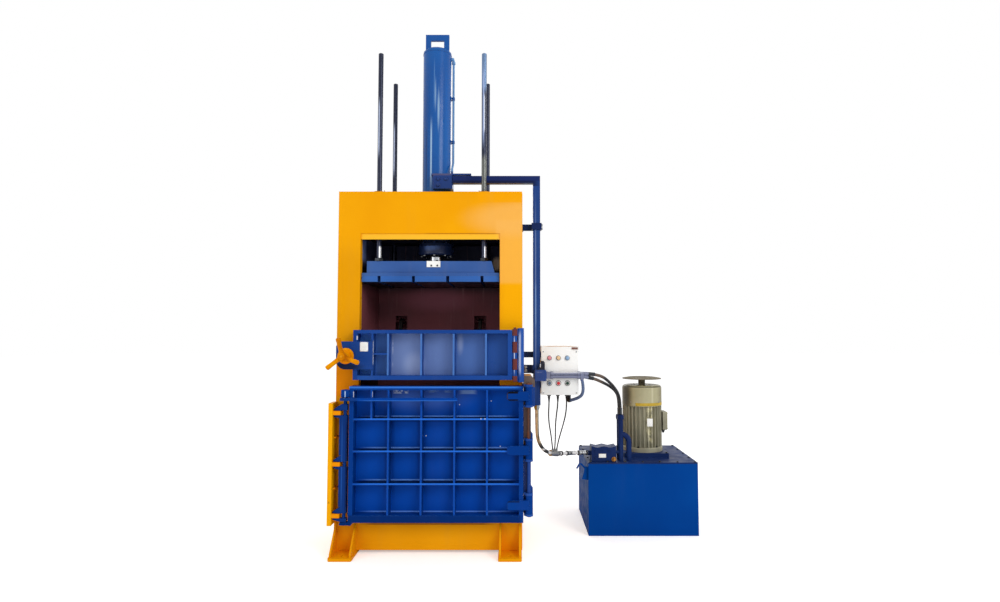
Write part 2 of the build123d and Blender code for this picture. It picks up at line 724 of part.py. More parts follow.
def head_beam():
    """Head: cap plate on two box beams, open between them for the cylinder."""
    half = FRAME_HALF_W - PLATE
    web_in = CYL_FLANGE_Y / 2 + 8
    cap = block(-half, half, FASCIA_BACK, -FASCIA_BACK, FLANGE_TOP, FRAME_TOP)
    pieces = [cap]
    for end in (-1, 1):
        y_out = end * -FASCIA_BACK
        y_web = end * web_in
        y_web_in = end * (web_in + PLATE)
        pieces.append(block(-half, half, min(y_out, y_web), max(y_out, y_web),
                            HEAD_BOTTOM, HEAD_BOTTOM + PLATE))
        pieces.append(block(-half, half, min(y_web, y_web_in), max(y_web, y_web_in),
                            HEAD_BOTTOM + PLATE, FLANGE_TOP))
    head = fuse(pieces)
    head -= post(0, 0, FLANGE_TOP, FRAME_TOP, BARREL_R)
    for x in (-ROD_X, ROD_X):
        for y in (-ROD_Y, ROD_Y):
            head -= post(x, y, FLANGE_TOP, FRAME_TOP, BUSH_R)
            head -= post(x, y, HEAD_BOTTOM, HEAD_BOTTOM + PLATE, ROD_R + ROD_PASS)
    return head


def rod_guides():
    """Four flanged bushes in the cap plate."""
    bushes = []
    for x in (-ROD_X, ROD_X):
        for y in (-ROD_Y, ROD_Y):
            sleeve = post(x, y, FRAME_TOP - BUSH_L, FRAME_TOP, BUSH_R)
            rim = post(x, y, FRAME_TOP, FRAME_TOP + BUSH_RIM_H, BUSH_RIM_R)
            bore = post(x, y, FRAME_TOP - BUSH_L, FRAME_TOP + BUSH_RIM_H, ROD_R + HINGE_RUN)
            bushes.append(sleeve + rim - bore)
    return group(bushes)


def chamber_side_walls():
    wall = block(WALL_HALF_W, COLUMN_IN, FASCIA_BACK + LIP_D, BACK_WALL_Y,
                 FLOOR_PLATE_Z0 + PLATE, HEAD_BOTTOM)
    return group(both_sides(wall))


def claw_housing(x):
    """Open box behind the back wall, with the claw's pin across it."""
    half = CLAW_WINDOW_W / 2
    y0 = BACK_WALL_Y + PLATE
    y1 = y0 + CLAW_BOX_D
    z0 = CLAW_PIN_Z - CLAW_WINDOW_DOWN
    z1 = CLAW_PIN_Z + CLAW_WINDOW_UP
    box = block(x - half - CLAW_BOX_T, x + half + CLAW_BOX_T, y0, y1,
                z0 - CLAW_BOX_T, z1 + CLAW_BOX_T)
    box -= block(x - half, x + half, y0, y1 - CLAW_BOX_T, z0, z1)
    return box + bar_x(x - half, x + half, CLAW_PIN_Y, CLAW_PIN_Z, CLAW_PIN_R)


def chamber_back_wall():
    """Back wall with two claw windows and the housings welded behind them."""
    y0, y1 = BACK_WALL_Y, BACK_WALL_Y + PLATE
    wall = block(-COLUMN_IN, COLUMN_IN, y0, y1, FLOOR_PLATE_Z0 + PLATE, HEAD_BOTTOM)
    half = CLAW_WINDOW_W / 2
    for x in CLAW_X:
        wall -= block(x - half, x + half, y0, y1, CLAW_PIN_Z - CLAW_WINDOW_DOWN,
                      CLAW_PIN_Z + CLAW_WINDOW_UP)
    return fuse([wall] + [claw_housing(x) for x in CLAW_X])


def chamber_floor():
    """Floor plate with slabs that leave the strap grooves open."""
    half = FRAME_HALF_W - PLATE
    plate = block(-half, half, FASCIA_BACK, -FASCIA_BACK, FLOOR_PLATE_Z0,
                  FLOOR_PLATE_Z0 + PLATE)
    slab = block(-WALL_HALF_W, WALL_HALF_W, FASCIA_BACK, BACK_WALL_Y,
                 FLOOR_PLATE_Z0 + PLATE, FLOOR_TOP)
    slab -= block(OPENING_HALF_W, WALL_HALF_W, FASCIA_BACK, FASCIA_BACK + LIP_D,
                  FLOOR_PLATE_Z0 + PLATE, FLOOR_TOP)
    slab -= block(-WALL_HALF_W, -OPENING_HALF_W, FASCIA_BACK, FASCIA_BACK + LIP_D,
                  FLOOR_PLATE_Z0 + PLATE, FLOOR_TOP)
    for x in STRAP_X:
        slab -= block(x - STRAP_W / 2, x + STRAP_W / 2, FASCIA_BACK, BACK_WALL_Y,
                      FLOOR_PLATE_Z0 + PLATE, FLOOR_TOP)
    return plate + slab


# Hinges and keepers

def hinge_mounts():
    """Upper hinge post with its knuckles, and the lower hinge's lugs."""
    upper = block(UPPER_HINGE_X + UPPER_KNUCKLE_R + 2, POST_X1, POST_FRONT, -FRAME_HALF_D,
                  POST_Z0, POST_Z1)
    upper = fillet(upper.edges().filter_by(Axis.Z).sort_by(Axis.Y)[:2], POST_ROUND)
    half = UPPER_KNUCKLE_H / 2 + HINGE_END
    starts = [POST_Z0 + POST_END] + [z + half for z in UPPER_KNUCKLE_Z]
    ends = [z - half for z in UPPER_KNUCKLE_Z] + [POST_Z1 - POST_END]
    for z0, z1 in zip(starts, ends):
        knuckle = post(UPPER_HINGE_X, UPPER_HINGE_Y, z0, z1, UPPER_KNUCKLE_R)
        leaf = block(UPPER_HINGE_X, UPPER_HINGE_X + UPPER_KNUCKLE_R + 20,
                     UPPER_HINGE_Y + UPPER_KNUCKLE_R / 2, UPPER_HINGE_Y + UPPER_KNUCKLE_R + 14,
                     z0, z1)
        upper = upper + knuckle + leaf
    upper -= post(UPPER_HINGE_X, UPPER_HINGE_Y, POST_Z0, POST_Z1, UPPER_PIN_R)
    lugs = []
    reach = LOWER_KNUCKLE_R + 2
    x0 = LOWER_X1 + 3
    x1 = LOWER_HINGE_X + reach
    outline = [(x0, LOWER_HINGE_Y), (x1, LOWER_HINGE_Y), (x1, -FRAME_HALF_D + LUG_NOSE),
               (FRAME_HALF_W, -FRAME_HALF_D + LUG_ROOT), (FRAME_HALF_W, -FRAME_HALF_D),
               (x0, -FRAME_HALF_D)]
    half = LOWER_KNUCKLE_H / 2 + LUG_H_GAP
    y0 = LOWER_HINGE_Y + reach + LUG_PLATE_GAP
    strip = LOWER_HINGE_X + STRIP_OUT
    below = None
    for z in LOWER_KNUCKLE_Z:
        plates = []
        for z0, z1 in ((z - half - LUG_T, z - half), (z + half, z + half + LUG_T)):
            lug = slab_xy(outline, z0, z1) + post(LOWER_HINGE_X, LOWER_HINGE_Y, z0, z1, reach)
            plates.append(lug - post(LOWER_HINGE_X, LOWER_HINGE_Y, z0, z1, LOWER_PIN_R))
        low, high = z - half - LUG_T, z + half + LUG_PLATE_UP
        side = x1 + TOP_LUG_LAP if z == LOWER_KNUCKLE_Z[-1] else x1
        foot_end = [(x0, low)] if below is None else [(x0, below), (strip, below), (strip, low)]
        back = slab_xz(foot_end + [(side, low), (side, high - LUG_PLATE_CUT_Z),
                                   (side - LUG_PLATE_CUT_X, high), (x0, high)],
                       y0, y0 + LUG_PLATE_T)
        lugs.append(fuse([back] + plates))
        below = high
    return group([upper] + lugs)


def hinge_pins():
    upper = post(UPPER_HINGE_X, UPPER_HINGE_Y, POST_Z0 + 2, POST_Z1 + 4, UPPER_PIN_R)
    low = LOWER_KNUCKLE_Z[0] - LOWER_KNUCKLE_H / 2 - LUG_H_GAP - LUG_T - 6
    high = LOWER_KNUCKLE_Z[-1] + LOWER_KNUCKLE_H / 2 + LUG_H_GAP + LUG_T
    lower = post(LOWER_HINGE_X, LOWER_HINGE_Y, low, high, LOWER_PIN_R)
    head = post(LOWER_HINGE_X, LOWER_HINGE_Y, high, high + 10, LOWER_PIN_R + 6)
    return group([upper, lower + head])


def keepers():
    """Keeper bar with fingers for the lower lock, and the slotted plate for the upper screw."""
    bar = block(KEEP_BAR_X0, KEEP_BAR_X1, KEEP_BAR_FRONT, -FRAME_HALF_D, KEEP_BAR_Z0, KEEP_BAR_Z1)
    for z in FINGER_Z:
        bar += block(KEEP_BAR_X1, FINGER_X1, FINGER_FRONT, FINGER_REAR,
                     z - FINGER_T / 2, z + FINGER_T / 2)
    for z0, z1 in zip(FINGER_Z, FINGER_Z[1:]):
        middle = (z0 + z1) / 2
        bar += block(KEEP_BAR_X1, KEEP_BAR_X1 + STUB_L, FINGER_REAR, -FRAME_HALF_D,
                     middle - STUB_T / 2, middle + STUB_T / 2)
    plate = block(WHEEL_X - KEEPER_W / 2, WHEEL_X + KEEPER_W / 2, -FRAME_HALF_D - KEEPER_T,
                  -FRAME_HALF_D, WHEEL_Z - KEEPER_H / 2, WHEEL_Z + KEEPER_H / 2)
    slot = block(WHEEL_X - KEEPER_SLOT_W / 2, WHEEL_X + KEEPER_SLOT_W / 2,
                 -FRAME_HALF_D - KEEPER_T, -FRAME_HALF_D,
                 WHEEL_Z - KEEPER_SLOT_H / 2, WHEEL_Z + KEEPER_SLOT_H / 2)
    return group([bar, plate - slot])


# Cylinder

def cylinder_barrel():
    """Barrel tube with its end rim and the flange that bolts up under the cap plate."""
    tube = post(0, 0, BARREL_BOTTOM, BARREL_TOP, BARREL_R)
    rim = post(0, 0, BARREL_BOTTOM, BARREL_BOTTOM + GLAND_RIM_H, GLAND_R)
    flange = block(-CYL_FLANGE_X / 2, CYL_FLANGE_X / 2, -CYL_FLANGE_Y / 2, CYL_FLANGE_Y / 2,
                   FLANGE_TOP - CYL_FLANGE_T, FLANGE_TOP)
    barrel = tube + rim + flange - post(0, 0, BARREL_BOTTOM, BARREL_TOP, BARREL_BORE)
    for x, y in gland_bolt_places():
        barrel -= post(x, y, BARREL_BOTTOM, BARREL_BOTTOM + GLAND_RIM_H, GLAND_BOLT_R / 2 + 0.5)
    return barrel


def gland_bolt_places():
    """Where the bolts stand that hold the gland under the barrel's rim."""
    angles = [2 * pi * i / GLAND_BOLTS for i in range(GLAND_BOLTS)]
    return [(GLAND_BOLT_CIRCLE * cos(a), GLAND_BOLT_CIRCLE * sin(a)) for a in angles]


def cylinder_gland():
    """Gland ring that guides the ram, with its bolt heads."""
    ring = post(0, 0, GLAND_BOTTOM, BARREL_BOTTOM, GLAND_R)
    ring = chamfer(ring.edges().group_by(Axis.Z)[0], 6)
    ring -= post(0, 0, GLAND_BOTTOM, BARREL_BOTTOM, RAM_R + HINGE_RUN)
    for x, y in gland_bolt_places():
        bolt = extrude(Pos(x, y, BARREL_BOTTOM + GLAND_RIM_H) * RegularPolygon(GLAND_BOLT_R, 6),
                       amount=GLAND_BOLT_H)
        shank = post(x, y, BARREL_BOTTOM, BARREL_BOTTOM + GLAND_RIM_H, GLAND_BOLT_R / 2)
        ring = ring + bolt + shank
    return ring


def cylinder_cap():
    """Chamfered end cap with the lifting eye plate."""
    cap = post(0, 0, BARREL_TOP, BARREL_TOP + CAP_H, BARREL_R)
    cap = chamfer(cap.edges().group_by(Axis.Z)[-1], CAP_CHAMFER)
    z0 = BARREL_TOP + CAP_H
    eye = block(-EYE_W / 2, EYE_W / 2, -EYE_T / 2, EYE_T / 2, z0, z0 + EYE_H)
    hole = block(-EYE_HOLE_W / 2, EYE_HOLE_W / 2, -EYE_T / 2, EYE_T / 2,
                 z0 + EYE_HOLE_UP, z0 + EYE_HOLE_UP + EYE_HOLE_H)
    hole = fillet(hole.edges().filter_by(Axis.Y), 5)
    return cap + (eye - hole)


def port_block():
    """Port block saddled on the barrel, its top plate, and the bypass pipe to the upper port."""
    body = block(PORT_X0, PORT_X1, PORT_FRONT, PORT_REAR, PORT_Z0, PORT_Z1)
    body = chamfer(body.edges().filter_by(Axis.Z).sort_by(Axis.Y)[:2], 8)
    top = block(PORT_X0 - 8, PORT_TOP_X1, PORT_FRONT, PORT_REAR, PORT_Z1, PORT_Z1 + PLATE)
    top -= block(PORT_X1 + 30, PORT_TOP_X1, PORT_REAR - 30, PORT_REAR, PORT_Z1, PORT_Z1 + PLATE)
    body = body + top - post(0, 0, PORT_Z0, PORT_Z1 + PLATE, BARREL_R)
    y = PORT_REAR - 12
    z = PORT_Z1 + PLATE
    path = FilletPolyline((BYPASS_X, y, z), (BYPASS_X, y, z + BYPASS_RISE),
                          (BYPASS_X, 0, z + BYPASS_STEP),
                          (BYPASS_X, 0, BYPASS_TOP), (BARREL_R - 6, 0, BYPASS_TOP),
                          radius=[22, 22, 13])
    pipe = sweep(Plane(origin=(BYPASS_X, y, z), z_dir=(0, 0, 1)) * Circle(BYPASS_R), path=path)
    pipe -= post(0, 0, BYPASS_TOP - 20, BYPASS_TOP + 20, BARREL_R)
    return body + pipe


def pipe_duct():
    """Square guard duct: an arm from the port block, a mitred corner and a drop."""
    half = DUCT_W / 2
    x0 = PORT_X1
    arm = block(x0, DUCT_X + half, DUCT_Y - half, DUCT_Y + half,
                DUCT_ARM_Z - half, DUCT_ARM_Z + half)
    drop = block(DUCT_X - half, DUCT_X + half, DUCT_Y - half, DUCT_Y + half,
                 DUCT_FOOT_Z, DUCT_ARM_Z + half)
    inner = half - DUCT_T
    arm_in = block(x0, DUCT_X + inner, DUCT_Y - inner, DUCT_Y + inner,
                   DUCT_ARM_Z - inner, DUCT_ARM_Z + inner)
    drop_in = block(DUCT_X - inner, DUCT_X + inner, DUCT_Y - inner, DUCT_Y + inner,
                    DUCT_FOOT_Z, DUCT_ARM_Z + inner)
    plug = block(DUCT_X - inner, DUCT_X + inner, DUCT_Y - inner, DUCT_Y + inner,
                 DUCT_FOOT_Z, DUCT_FOOT_Z + PLATE)
    return arm + drop - arm_in - drop_in + plug


def duct_brackets():
    """Brackets that carry the duct on the right column, and the control box's two bars."""
    half = DUCT_W / 2
    x0, x1 = DUCT_X - half, DUCT_X + half
    y0, y1 = DUCT_Y - half, DUCT_Y + half
    low, high = CLAMP_Z - CLAMP_H / 2, CLAMP_Z + CLAMP_H / 2
    t = BRACKET_T
    clamp = block(FRAME_HALF_W, x1 + t, y0 - t, y1 + t, low, high)
    clamp -= block(FRAME_HALF_W, x0 - t, y0 - t, y1, low, high)
    clamp -= block(x0, x1, y0, y1, low, high)
    low, high = LOW_BRACKET_Z - LOW_BRACKET_H / 2, LOW_BRACKET_Z + LOW_BRACKET_H / 2
    arm = block(FRAME_HALF_W, x1, y1, y1 + t, low, high) + block(x0 - t, x0, y0, y1, low, high)
    pieces = []
    for bracket, z0, z1 in ((clamp, CLAMP_Z - CLAMP_H / 2, CLAMP_Z + CLAMP_H / 2), (arm, low, high)):
        pieces.append(bracket + block(FRAME_HALF_W, FRAME_HALF_W + t, y1 + t, y1 + BRACKET_FOOT,
                                      z0, z1))
    for z in BOX_BAR_Z:
        pieces.append(block(FRAME_HALF_W, CBOX_X0, BOX_BAR_Y0, BOX_BAR_Y1,
                            z - BOX_BAR_H / 2, z + BOX_BAR_H / 2))
    return group(pieces)


# Platen and what rides with it

def claw_notch(x, z0, z1):
    half = CLAW_T / 2 + CLAW_GAP
    y0 = CLAW_PIN_Y - CLAW_REACH - CLAW_GAP
    return block(x - half, x + half, y0, PLATEN_REAR, z0, z1)


def platen():
    """Platen: a plate under a hollow box with one slanted end."""
    z0 = PLATEN_BOTTOM + SHOE_H
    plate = block(-PLATEN_HALF_W, PLATEN_HALF_W, PLATEN_FRONT, PLATEN_REAR, z0, PLATE_TOP)
    for x in CLAW_X:
        plate -= claw_notch(x, z0, PLATE_TOP)
    half = PLATEN_BOX_HALF_W
    outline = [(-half, PLATE_TOP), (half, PLATE_TOP), (half - PLATEN_SLANT, BOX_TOP),
               (-half, BOX_TOP)]
    box = slab_xz(outline, PLATEN_BOX_FRONT, PLATEN_BOX_REAR)
    t = PLATE
    hollow = [(-half + t, PLATE_TOP), (half - t, PLATE_TOP),
              (half - PLATEN_SLANT - t, BOX_TOP - t), (-half + t, BOX_TOP - t)]
    box -= slab_xz(hollow, PLATEN_BOX_FRONT + t, PLATEN_BOX_REAR - t)
    for x in (-ROD_X, ROD_X):
        box += post(x, -ROD_Y + 20, PLATE_TOP, BOX_TOP - t, 8)
    box += post(0, 0, PLATE_TOP, BOX_TOP, RAM_FOOT_R)
    return plate + box


def platen_shoes():
    """Five shoes under the plate, with the strap grooves open between them."""
    sides = [x + s * STRAP_W / 2 for x in STRAP_X for s in (-1, 1)]
    edges = [-PLATEN_HALF_W] + sides + [PLATEN_HALF_W]
    shoes = []
    for x0, x1 in zip(edges[::2], edges[1::2]):
        shoe = block(x0, x1, PLATEN_FRONT, PLATEN_REAR, PLATEN_BOTTOM, PLATEN_BOTTOM + SHOE_H)
        for x in CLAW_X:
            if x0 < x < x1:
                shoe -= claw_notch(x, PLATEN_BOTTOM, PLATEN_BOTTOM + SHOE_H)
        shoes.append(shoe)
    return group(shoes)


def guide_rods():
    rods = []
    for x in (-ROD_X, ROD_X):
        for y, z0 in ((-ROD_Y, BOX_TOP), (ROD_Y, PLATE_TOP)):
            rod = post(x, y, z0, ROD_TOP, ROD_R)
            rods.append(chamfer(rod.edges().group_by(Axis.Z)[-1], 3))
    return group(rods)


def piston_rod():
    """Ram with its foot flange and the piston at the top of the barrel."""
    foot_plate = post(0, 0, BOX_TOP, BOX_TOP + RAM_FOOT_H, RAM_FOOT_R)
    top = BARREL_TOP - 40
    ram = post(0, 0, BOX_TOP, top - PISTON_H, RAM_R)
    head = post(0, 0, top - PISTON_H, top, BARREL_BORE - HINGE_RUN)
    return fuse([foot_plate, ram, head])


def switch_plate():
    """Bare pale plate on the platen's front with two bolts."""
    y1 = PLATEN_BOX_FRONT
    plate = block(SWITCH_X0, SWITCH_X0 + SWITCH_W, y1 - SWITCH_T, y1, BOX_TOP - SWITCH_H, BOX_TOP)
    for share in (0.34, 0.78):
        plate += bar_y(SWITCH_X0 + share * SWITCH_W, y1 - SWITCH_T - 4, y1 - SWITCH_T,
                       BOX_TOP - SWITCH_H * 0.75, 5)
    return plate


# Doors

def door_panel(x0, x1, z0, z1, rib_xs, rib_zs, sill):
    """Skin with a deep rim and a grid of ribs on its front."""
    skin = block(x0, x1, DOOR_BACK - DOOR_SKIN, DOOR_BACK, z0, z1)
    back = DOOR_BACK - DOOR_SKIN
    low, high = z0 + sill, z1 - TOP_RAIL_H
    rim = block(x0, x1, DOOR_FRONT, back, z0, z1)
    rim -= block(x0 + STILE_T, x1 - STILE_T, DOOR_FRONT, back, low, high)
    pieces = [skin, rim]
    for x in rib_xs:
        pieces.append(block(x - RIB_T / 2, x + RIB_T / 2, DOOR_FRONT, back, low, high))
    for z in rib_zs:
        pieces.append(block(x0 + STILE_T, x1 - STILE_T, DOOR_FRONT, back, z - RIB_T / 2, z + RIB_T / 2))
    return fuse(pieces)


def upper_door():
    door = door_panel(UPPER_X0, UPPER_X1, UPPER_Z0, UPPER_Z1, UPPER_RIB_X, (), STILE_T)
    back = DOOR_BACK - DOOR_SKIN
    door += block(SHORT_RIB_X - RIB_T / 2, SHORT_RIB_X + RIB_T / 2, DOOR_FRONT, back,
                  UPPER_Z0 + STILE_T, UPPER_Z1 - TOP_RAIL_H)
    door += block(SHORT_RIB_X, UPPER_RIB_X[0], DOOR_FRONT, back,
                  STIFFENER_Z - RIB_T / 2, STIFFENER_Z + RIB_T / 2)
    for z in UPPER_KNUCKLE_Z:
        z0, z1 = z - UPPER_KNUCKLE_H / 2, z + UPPER_KNUCKLE_H / 2
        door += post(UPPER_HINGE_X, UPPER_HINGE_Y, z0, z1, UPPER_KNUCKLE_R)
        door += block(UPPER_X1, UPPER_HINGE_X, UPPER_HINGE_Y - UPPER_KNUCKLE_R / 2,
                      UPPER_HINGE_Y + UPPER_KNUCKLE_R / 2, z0, z1)
        door -= post(UPPER_HINGE_X, UPPER_HINGE_Y, z0, z1, UPPER_PIN_R + HINGE_RUN)
    return door


def lower_door():
    door = door_panel(LOWER_X0, LOWER_X1, LOWER_Z0, LOWER_Z1, LOWER_RIB_X, LOWER_RIB_Z,
                      LOWER_SILL_H)
    back = DOOR_BACK - DOOR_SKIN
    door += block(SHORT_RIB_X - RIB_T / 2, SHORT_RIB_X + RIB_T / 2, DOOR_FRONT, back,
                  LOWER_RIB_Z[-1], LOWER_Z1 - TOP_RAIL_H)
    strap_front = DOOR_FRONT - STRAP_HINGE_T
    for z in LOWER_KNUCKLE_Z:
        z0, z1 = z - LOWER_KNUCKLE_H / 2, z + LOWER_KNUCKLE_H / 2
        strap = block(STRAP_HINGE_X0, LOWER_HINGE_X, strap_front, DOOR_FRONT,
                      z - STRAP_HINGE_H / 2, z + STRAP_HINGE_H / 2)
        strap = fillet(strap.edges().filter_by(Axis.Y).sort_by(Axis.X)[:2], 20)
        web = block(STRAP_HINGE_X0 + 20, LOWER_X1 - STILE_T, DOOR_FRONT, back,
                    z - RIB_T / 2, z + RIB_T / 2)
        knuckle = post(LOWER_HINGE_X, LOWER_HINGE_Y, z0, z1, LOWER_KNUCKLE_R)
        leaf = block(LOWER_X1, LOWER_HINGE_X, strap_front, LOWER_HINGE_Y + 6,
                     z - STRAP_HINGE_H / 2, z + STRAP_HINGE_H / 2)
        door = fuse([door, strap, web, knuckle, leaf])
        door -= post(LOWER_HINGE_X, LOWER_HINGE_Y, z0, z1, LOWER_PIN_R + HINGE_RUN)
    bearing_x0 = LOCK_X - 26
    top = block(bearing_x0, LOWER_X0, LOCK_Y - 22, LOCK_Y + 22, HUB_Z1 + 3, HUB_Z1 + 3 + BEARING_H)
    top = fillet(top.edges().filter_by(Axis.Z).sort_by(Axis.X)[:2], 12)
    low = block(bearing_x0, LOWER_X0, LOCK_Y - 13, LOCK_Y + 22, LOCK_BOTTOM + 2,
                LOCK_BOTTOM + 2 + BEARING_LOW_H)
    toe = slab_xz([(LOWER_X0, LOWER_Z0), (LOWER_X0 + TOE_W, LOWER_Z0),
                   (LOWER_X0 + TOE_W / 2, LOWER_Z0 - TOE_DROP), (LOWER_X0, LOCK_BOTTOM + 2)],
                  DOOR_FRONT, back)
    door = fuse([door, top, low, toe])
    return door - post(LOCK_X, LOCK_Y, LOCK_BOTTOM, LOCK_TOP + 5, LOCK_CORE_R + HINGE_RUN)


def latch_plate():
    """Plate on the upper door's left end that carries the screw in a boss."""
    y0, y1 = DOOR_FRONT - LATCH_T, DOOR_FRONT
    plate = block(LATCH_X0, LATCH_X1, y0, y1, LATCH_Z0, LATCH_Z1)
    edges = plate.edges().filter_by(Axis.Y).sort_by(Axis.X)[:2].sort_by(Axis.Z)
    plate = fillet(edges[:1], LATCH_ROUND)
    corner = plate.edges().filter_by(Axis.Y).group_by(Axis.X)[0].sort_by(Axis.Z)[-1]
    plate = chamfer(corner, LATCH_TOP_CUT)
    boss = bar_y(WHEEL_X, y1, y1 + SCREW_BOSS_L, WHEEL_Z, SCREW_BOSS_R)
    bore = bar_y(WHEEL_X, y0, y1 + SCREW_BOSS_L, WHEEL_Z, SCREW_R + HINGE_RUN)
    return plate + boss - bore


def hand_wheel():
    """Three-armed wheel: cupped disc, long hub and raked arms with ball ends."""
    disc_back = DOOR_FRONT - LATCH_T - 3
    hub_front = disc_back - WHEEL_HUB_L
    disc = bar_y(WHEEL_X, disc_back - WHEEL_DISC_T, disc_back, WHEEL_Z, WHEEL_DISC_R)
    disc = chamfer(disc.edges().group_by(Axis.Y)[0], 7)
    hub = bar_y(WHEEL_X, hub_front, disc_back, WHEEL_Z, WHEEL_HUB_R)
    hub = chamfer(hub.edges().group_by(Axis.Y)[0], 6)
    pieces = [disc, hub]
    for i in range(WHEEL_ARMS):
        angle = radians(WHEEL_ARM_START + 360.0 * i / WHEEL_ARMS)
        start = Vector(WHEEL_X, hub_front + 28, WHEEL_Z)
        run = Vector(WHEEL_ARM_REACH * cos(angle), -WHEEL_ARM_RAKE, WHEEL_ARM_REACH * sin(angle))
        plane = Plane(origin=start, z_dir=run)
        pieces.append(extrude(plane * Circle(WHEEL_ARM_R), amount=run.length, taper=-2))
    return fuse(pieces) - bar_y(WHEEL_X, hub_front + 24, disc_back, WHEEL_Z, SCREW_R)


def latch_screw():
    """Screw from the wheel's hub to the T head behind the keeper."""
    front = DOOR_FRONT - LATCH_T - 3 - WHEEL_HUB_L + 24
    tee_y0 = -FRAME_HALF_D + 2
    stem = bar_y(WHEEL_X, front, tee_y0, WHEEL_Z, SCREW_R)
    head = block(WHEEL_X - TEE_W / 2, WHEEL_X + TEE_W / 2, tee_y0, tee_y0 + TEE_T,
                 WHEEL_Z - TEE_L / 2, WHEEL_Z + TEE_L / 2)
    return stem + head


def lock_jaw(z_face, end):
    """One jaw of a fork: flat towards the finger, sloping on its far side."""
    root = JAW_ROOT_H if end > 0 else JAW_LOW_ROOT_H
    outline = [(JAW_X0, z_face), (LOCK_BOX_X1, z_face), (LOCK_BOX_X1, z_face + end * root),
               (LOCK_BOX_X0 + 12, z_face + end * root), (JAW_X0, z_face + end * JAW_TIP_H)]
    jaw = slab_xz(outline, LOCK_Y - LOCK_BOX_HALF_D, LOCK_Y + LOCK_BOX_HALF_D)
    half = LOCK_BOX_HALF_D - 2
    plan = [(JAW_X0, LOCK_Y - JAW_TIP_HALF), (LOCK_BOX_X0, LOCK_Y - half),
            (LOCK_BOX_X1, LOCK_Y - half), (LOCK_BOX_X1, LOCK_Y + half),
            (LOCK_BOX_X0, LOCK_Y + half), (JAW_X0, LOCK_Y + JAW_TIP_HALF)]
    return jaw & slab_xy(plan, z_face - 60, z_face + 60)


def lock_shaft():
    """Turning lock: round core, box segments, three forks and the long handle."""
    gap = FINGER_T / 2 + FINGER_CLEAR
    pieces = [post(LOCK_X, LOCK_Y, LOCK_BOTTOM, LOCK_TOP, LOCK_CORE_R)]
    for z in FINGER_Z:
        pieces.append(lock_jaw(z + gap, 1))
        pieces.append(lock_jaw(z - gap, -1))
    lows = [z + gap + JAW_ROOT_H for z in FINGER_Z]
    highs = [z - gap - JAW_LOW_ROOT_H for z in FINGER_Z[1:]]
    for z0, z1 in zip(lows, highs):
        pieces.append(block(LOCK_BOX_X0, LOCK_BOX_X1, LOCK_Y - LOCK_BOX_HALF_D + 2,
                            LOCK_Y + LOCK_BOX_HALF_D - 2, z0, z1))
    hub = slab_xy([(LOCK_X - 22, HANDLE_FRONT), (LOCK_X + 22, HANDLE_FRONT), (LOCK_X + 22, LOCK_Y),
                   (LOCK_X + 14, LOCK_Y + 18), (LOCK_X - 14, LOCK_Y + 18), (LOCK_X - 22, LOCK_Y)],
                  HUB_Z0, HUB_Z1)
    bar = block(LOCK_X - 22, HANDLE_X1, HANDLE_FRONT, HANDLE_FRONT + HANDLE_T, HUB_Z0, HUB_Z1)
    return fuse(pieces + [hub, bar])


# Controls

def control_box():
    """Sheet box, open at the front behind its cover."""
    box = block(CBOX_X0, CBOX_X1, CBOX_FRONT + COVER_T, CBOX_REAR, CBOX_Z0, CBOX_Z1)
    return box - block(CBOX_X0 + CBOX_T, CBOX_X1 - CBOX_T, CBOX_FRONT + COVER_T, CBOX_REAR - CBOX_T,
                       CBOX_Z0 + CBOX_T, CBOX_Z1 - CBOX_T)


def control_cover():
    """Front cover with the holes for lamps and buttons, and the buttons' collars."""
    cover = block(CBOX_X0, CBOX_X1, CBOX_FRONT, CBOX_FRONT + COVER_T, CBOX_Z0, CBOX_Z1)
    cover = fillet(cover.edges().filter_by(Axis.Y), 5)
    for x in LAMP_X:
        cover += bar_y(x, CBOX_FRONT - COLLAR_H, CBOX_FRONT, BUTTON_Z, COLLAR_R)
        cover -= bar_y(x, CBOX_FRONT - COLLAR_H, CBOX_FRONT + COVER_T, BUTTON_Z,
                       BUTTON_R + BUTTON_CLEAR)
    latch = block(CBOX_X1 - 46, CBOX_X1 - 4, CBOX_FRONT - 6, CBOX_FRONT, CBOX_Z1 - 24, CBOX_Z1 - 10)
    return cover + latch


def indicator_lamps():
    lamps = []
    for x in LAMP_X:
        lens = bar_y(x, CBOX_FRONT - LAMP_OUT, CBOX_FRONT, LAMP_Z, LAMP_R)
        lamps.append(chamfer(lens.edges().group_by(Axis.Y)[0], 4))
    return group(lamps)


def push_button(x):
    """Button cap that slides in its collar."""
    front = CBOX_FRONT - COLLAR_H - BUTTON_OUT
    cap = bar_y(x, front, CBOX_FRONT + COVER_T + 6, BUTTON_Z, BUTTON_R)
    rim = bar_y(x, CBOX_FRONT + COVER_T + 0.3, CBOX_FRONT + COVER_T + 4, BUTTON_Z, BUTTON_R + 3)
    cap = chamfer(cap.edges().group_by(Axis.Y)[0], 1.5)
    return cap + rim


def cable_glands():
    """Glands under the box and the conduit's gland elbow."""
    pieces = []
    for x in LAMP_X:
        nut = extrude(Pos(x, CABLE_Y, CBOX_Z0 - GLAND_NUT_H) * RegularPolygon(GLAND_HEX_R, 6),
                      amount=GLAND_NUT_H)
        pieces.append(nut + post(x, CABLE_Y, CABLE_TOP, CBOX_Z0 - GLAND_NUT_H, GLAND_HEX_R * 0.6))
    end = Vector(*CONDUIT[-1])
    run = end - Vector(*CONDUIT[-2])
    lead = run.normalized()
    inner = end + lead * 16
    sleeve = spigot(end, lead, CONDUIT_R + 3, 16)
    corner = Pos(inner) * Sphere(CONDUIT_R + 3)
    rise = post(inner.X, inner.Y, inner.Z, CBOX_Z0, CONDUIT_R + 3)
    pieces.append(sleeve + corner + rise)
    return group(pieces)


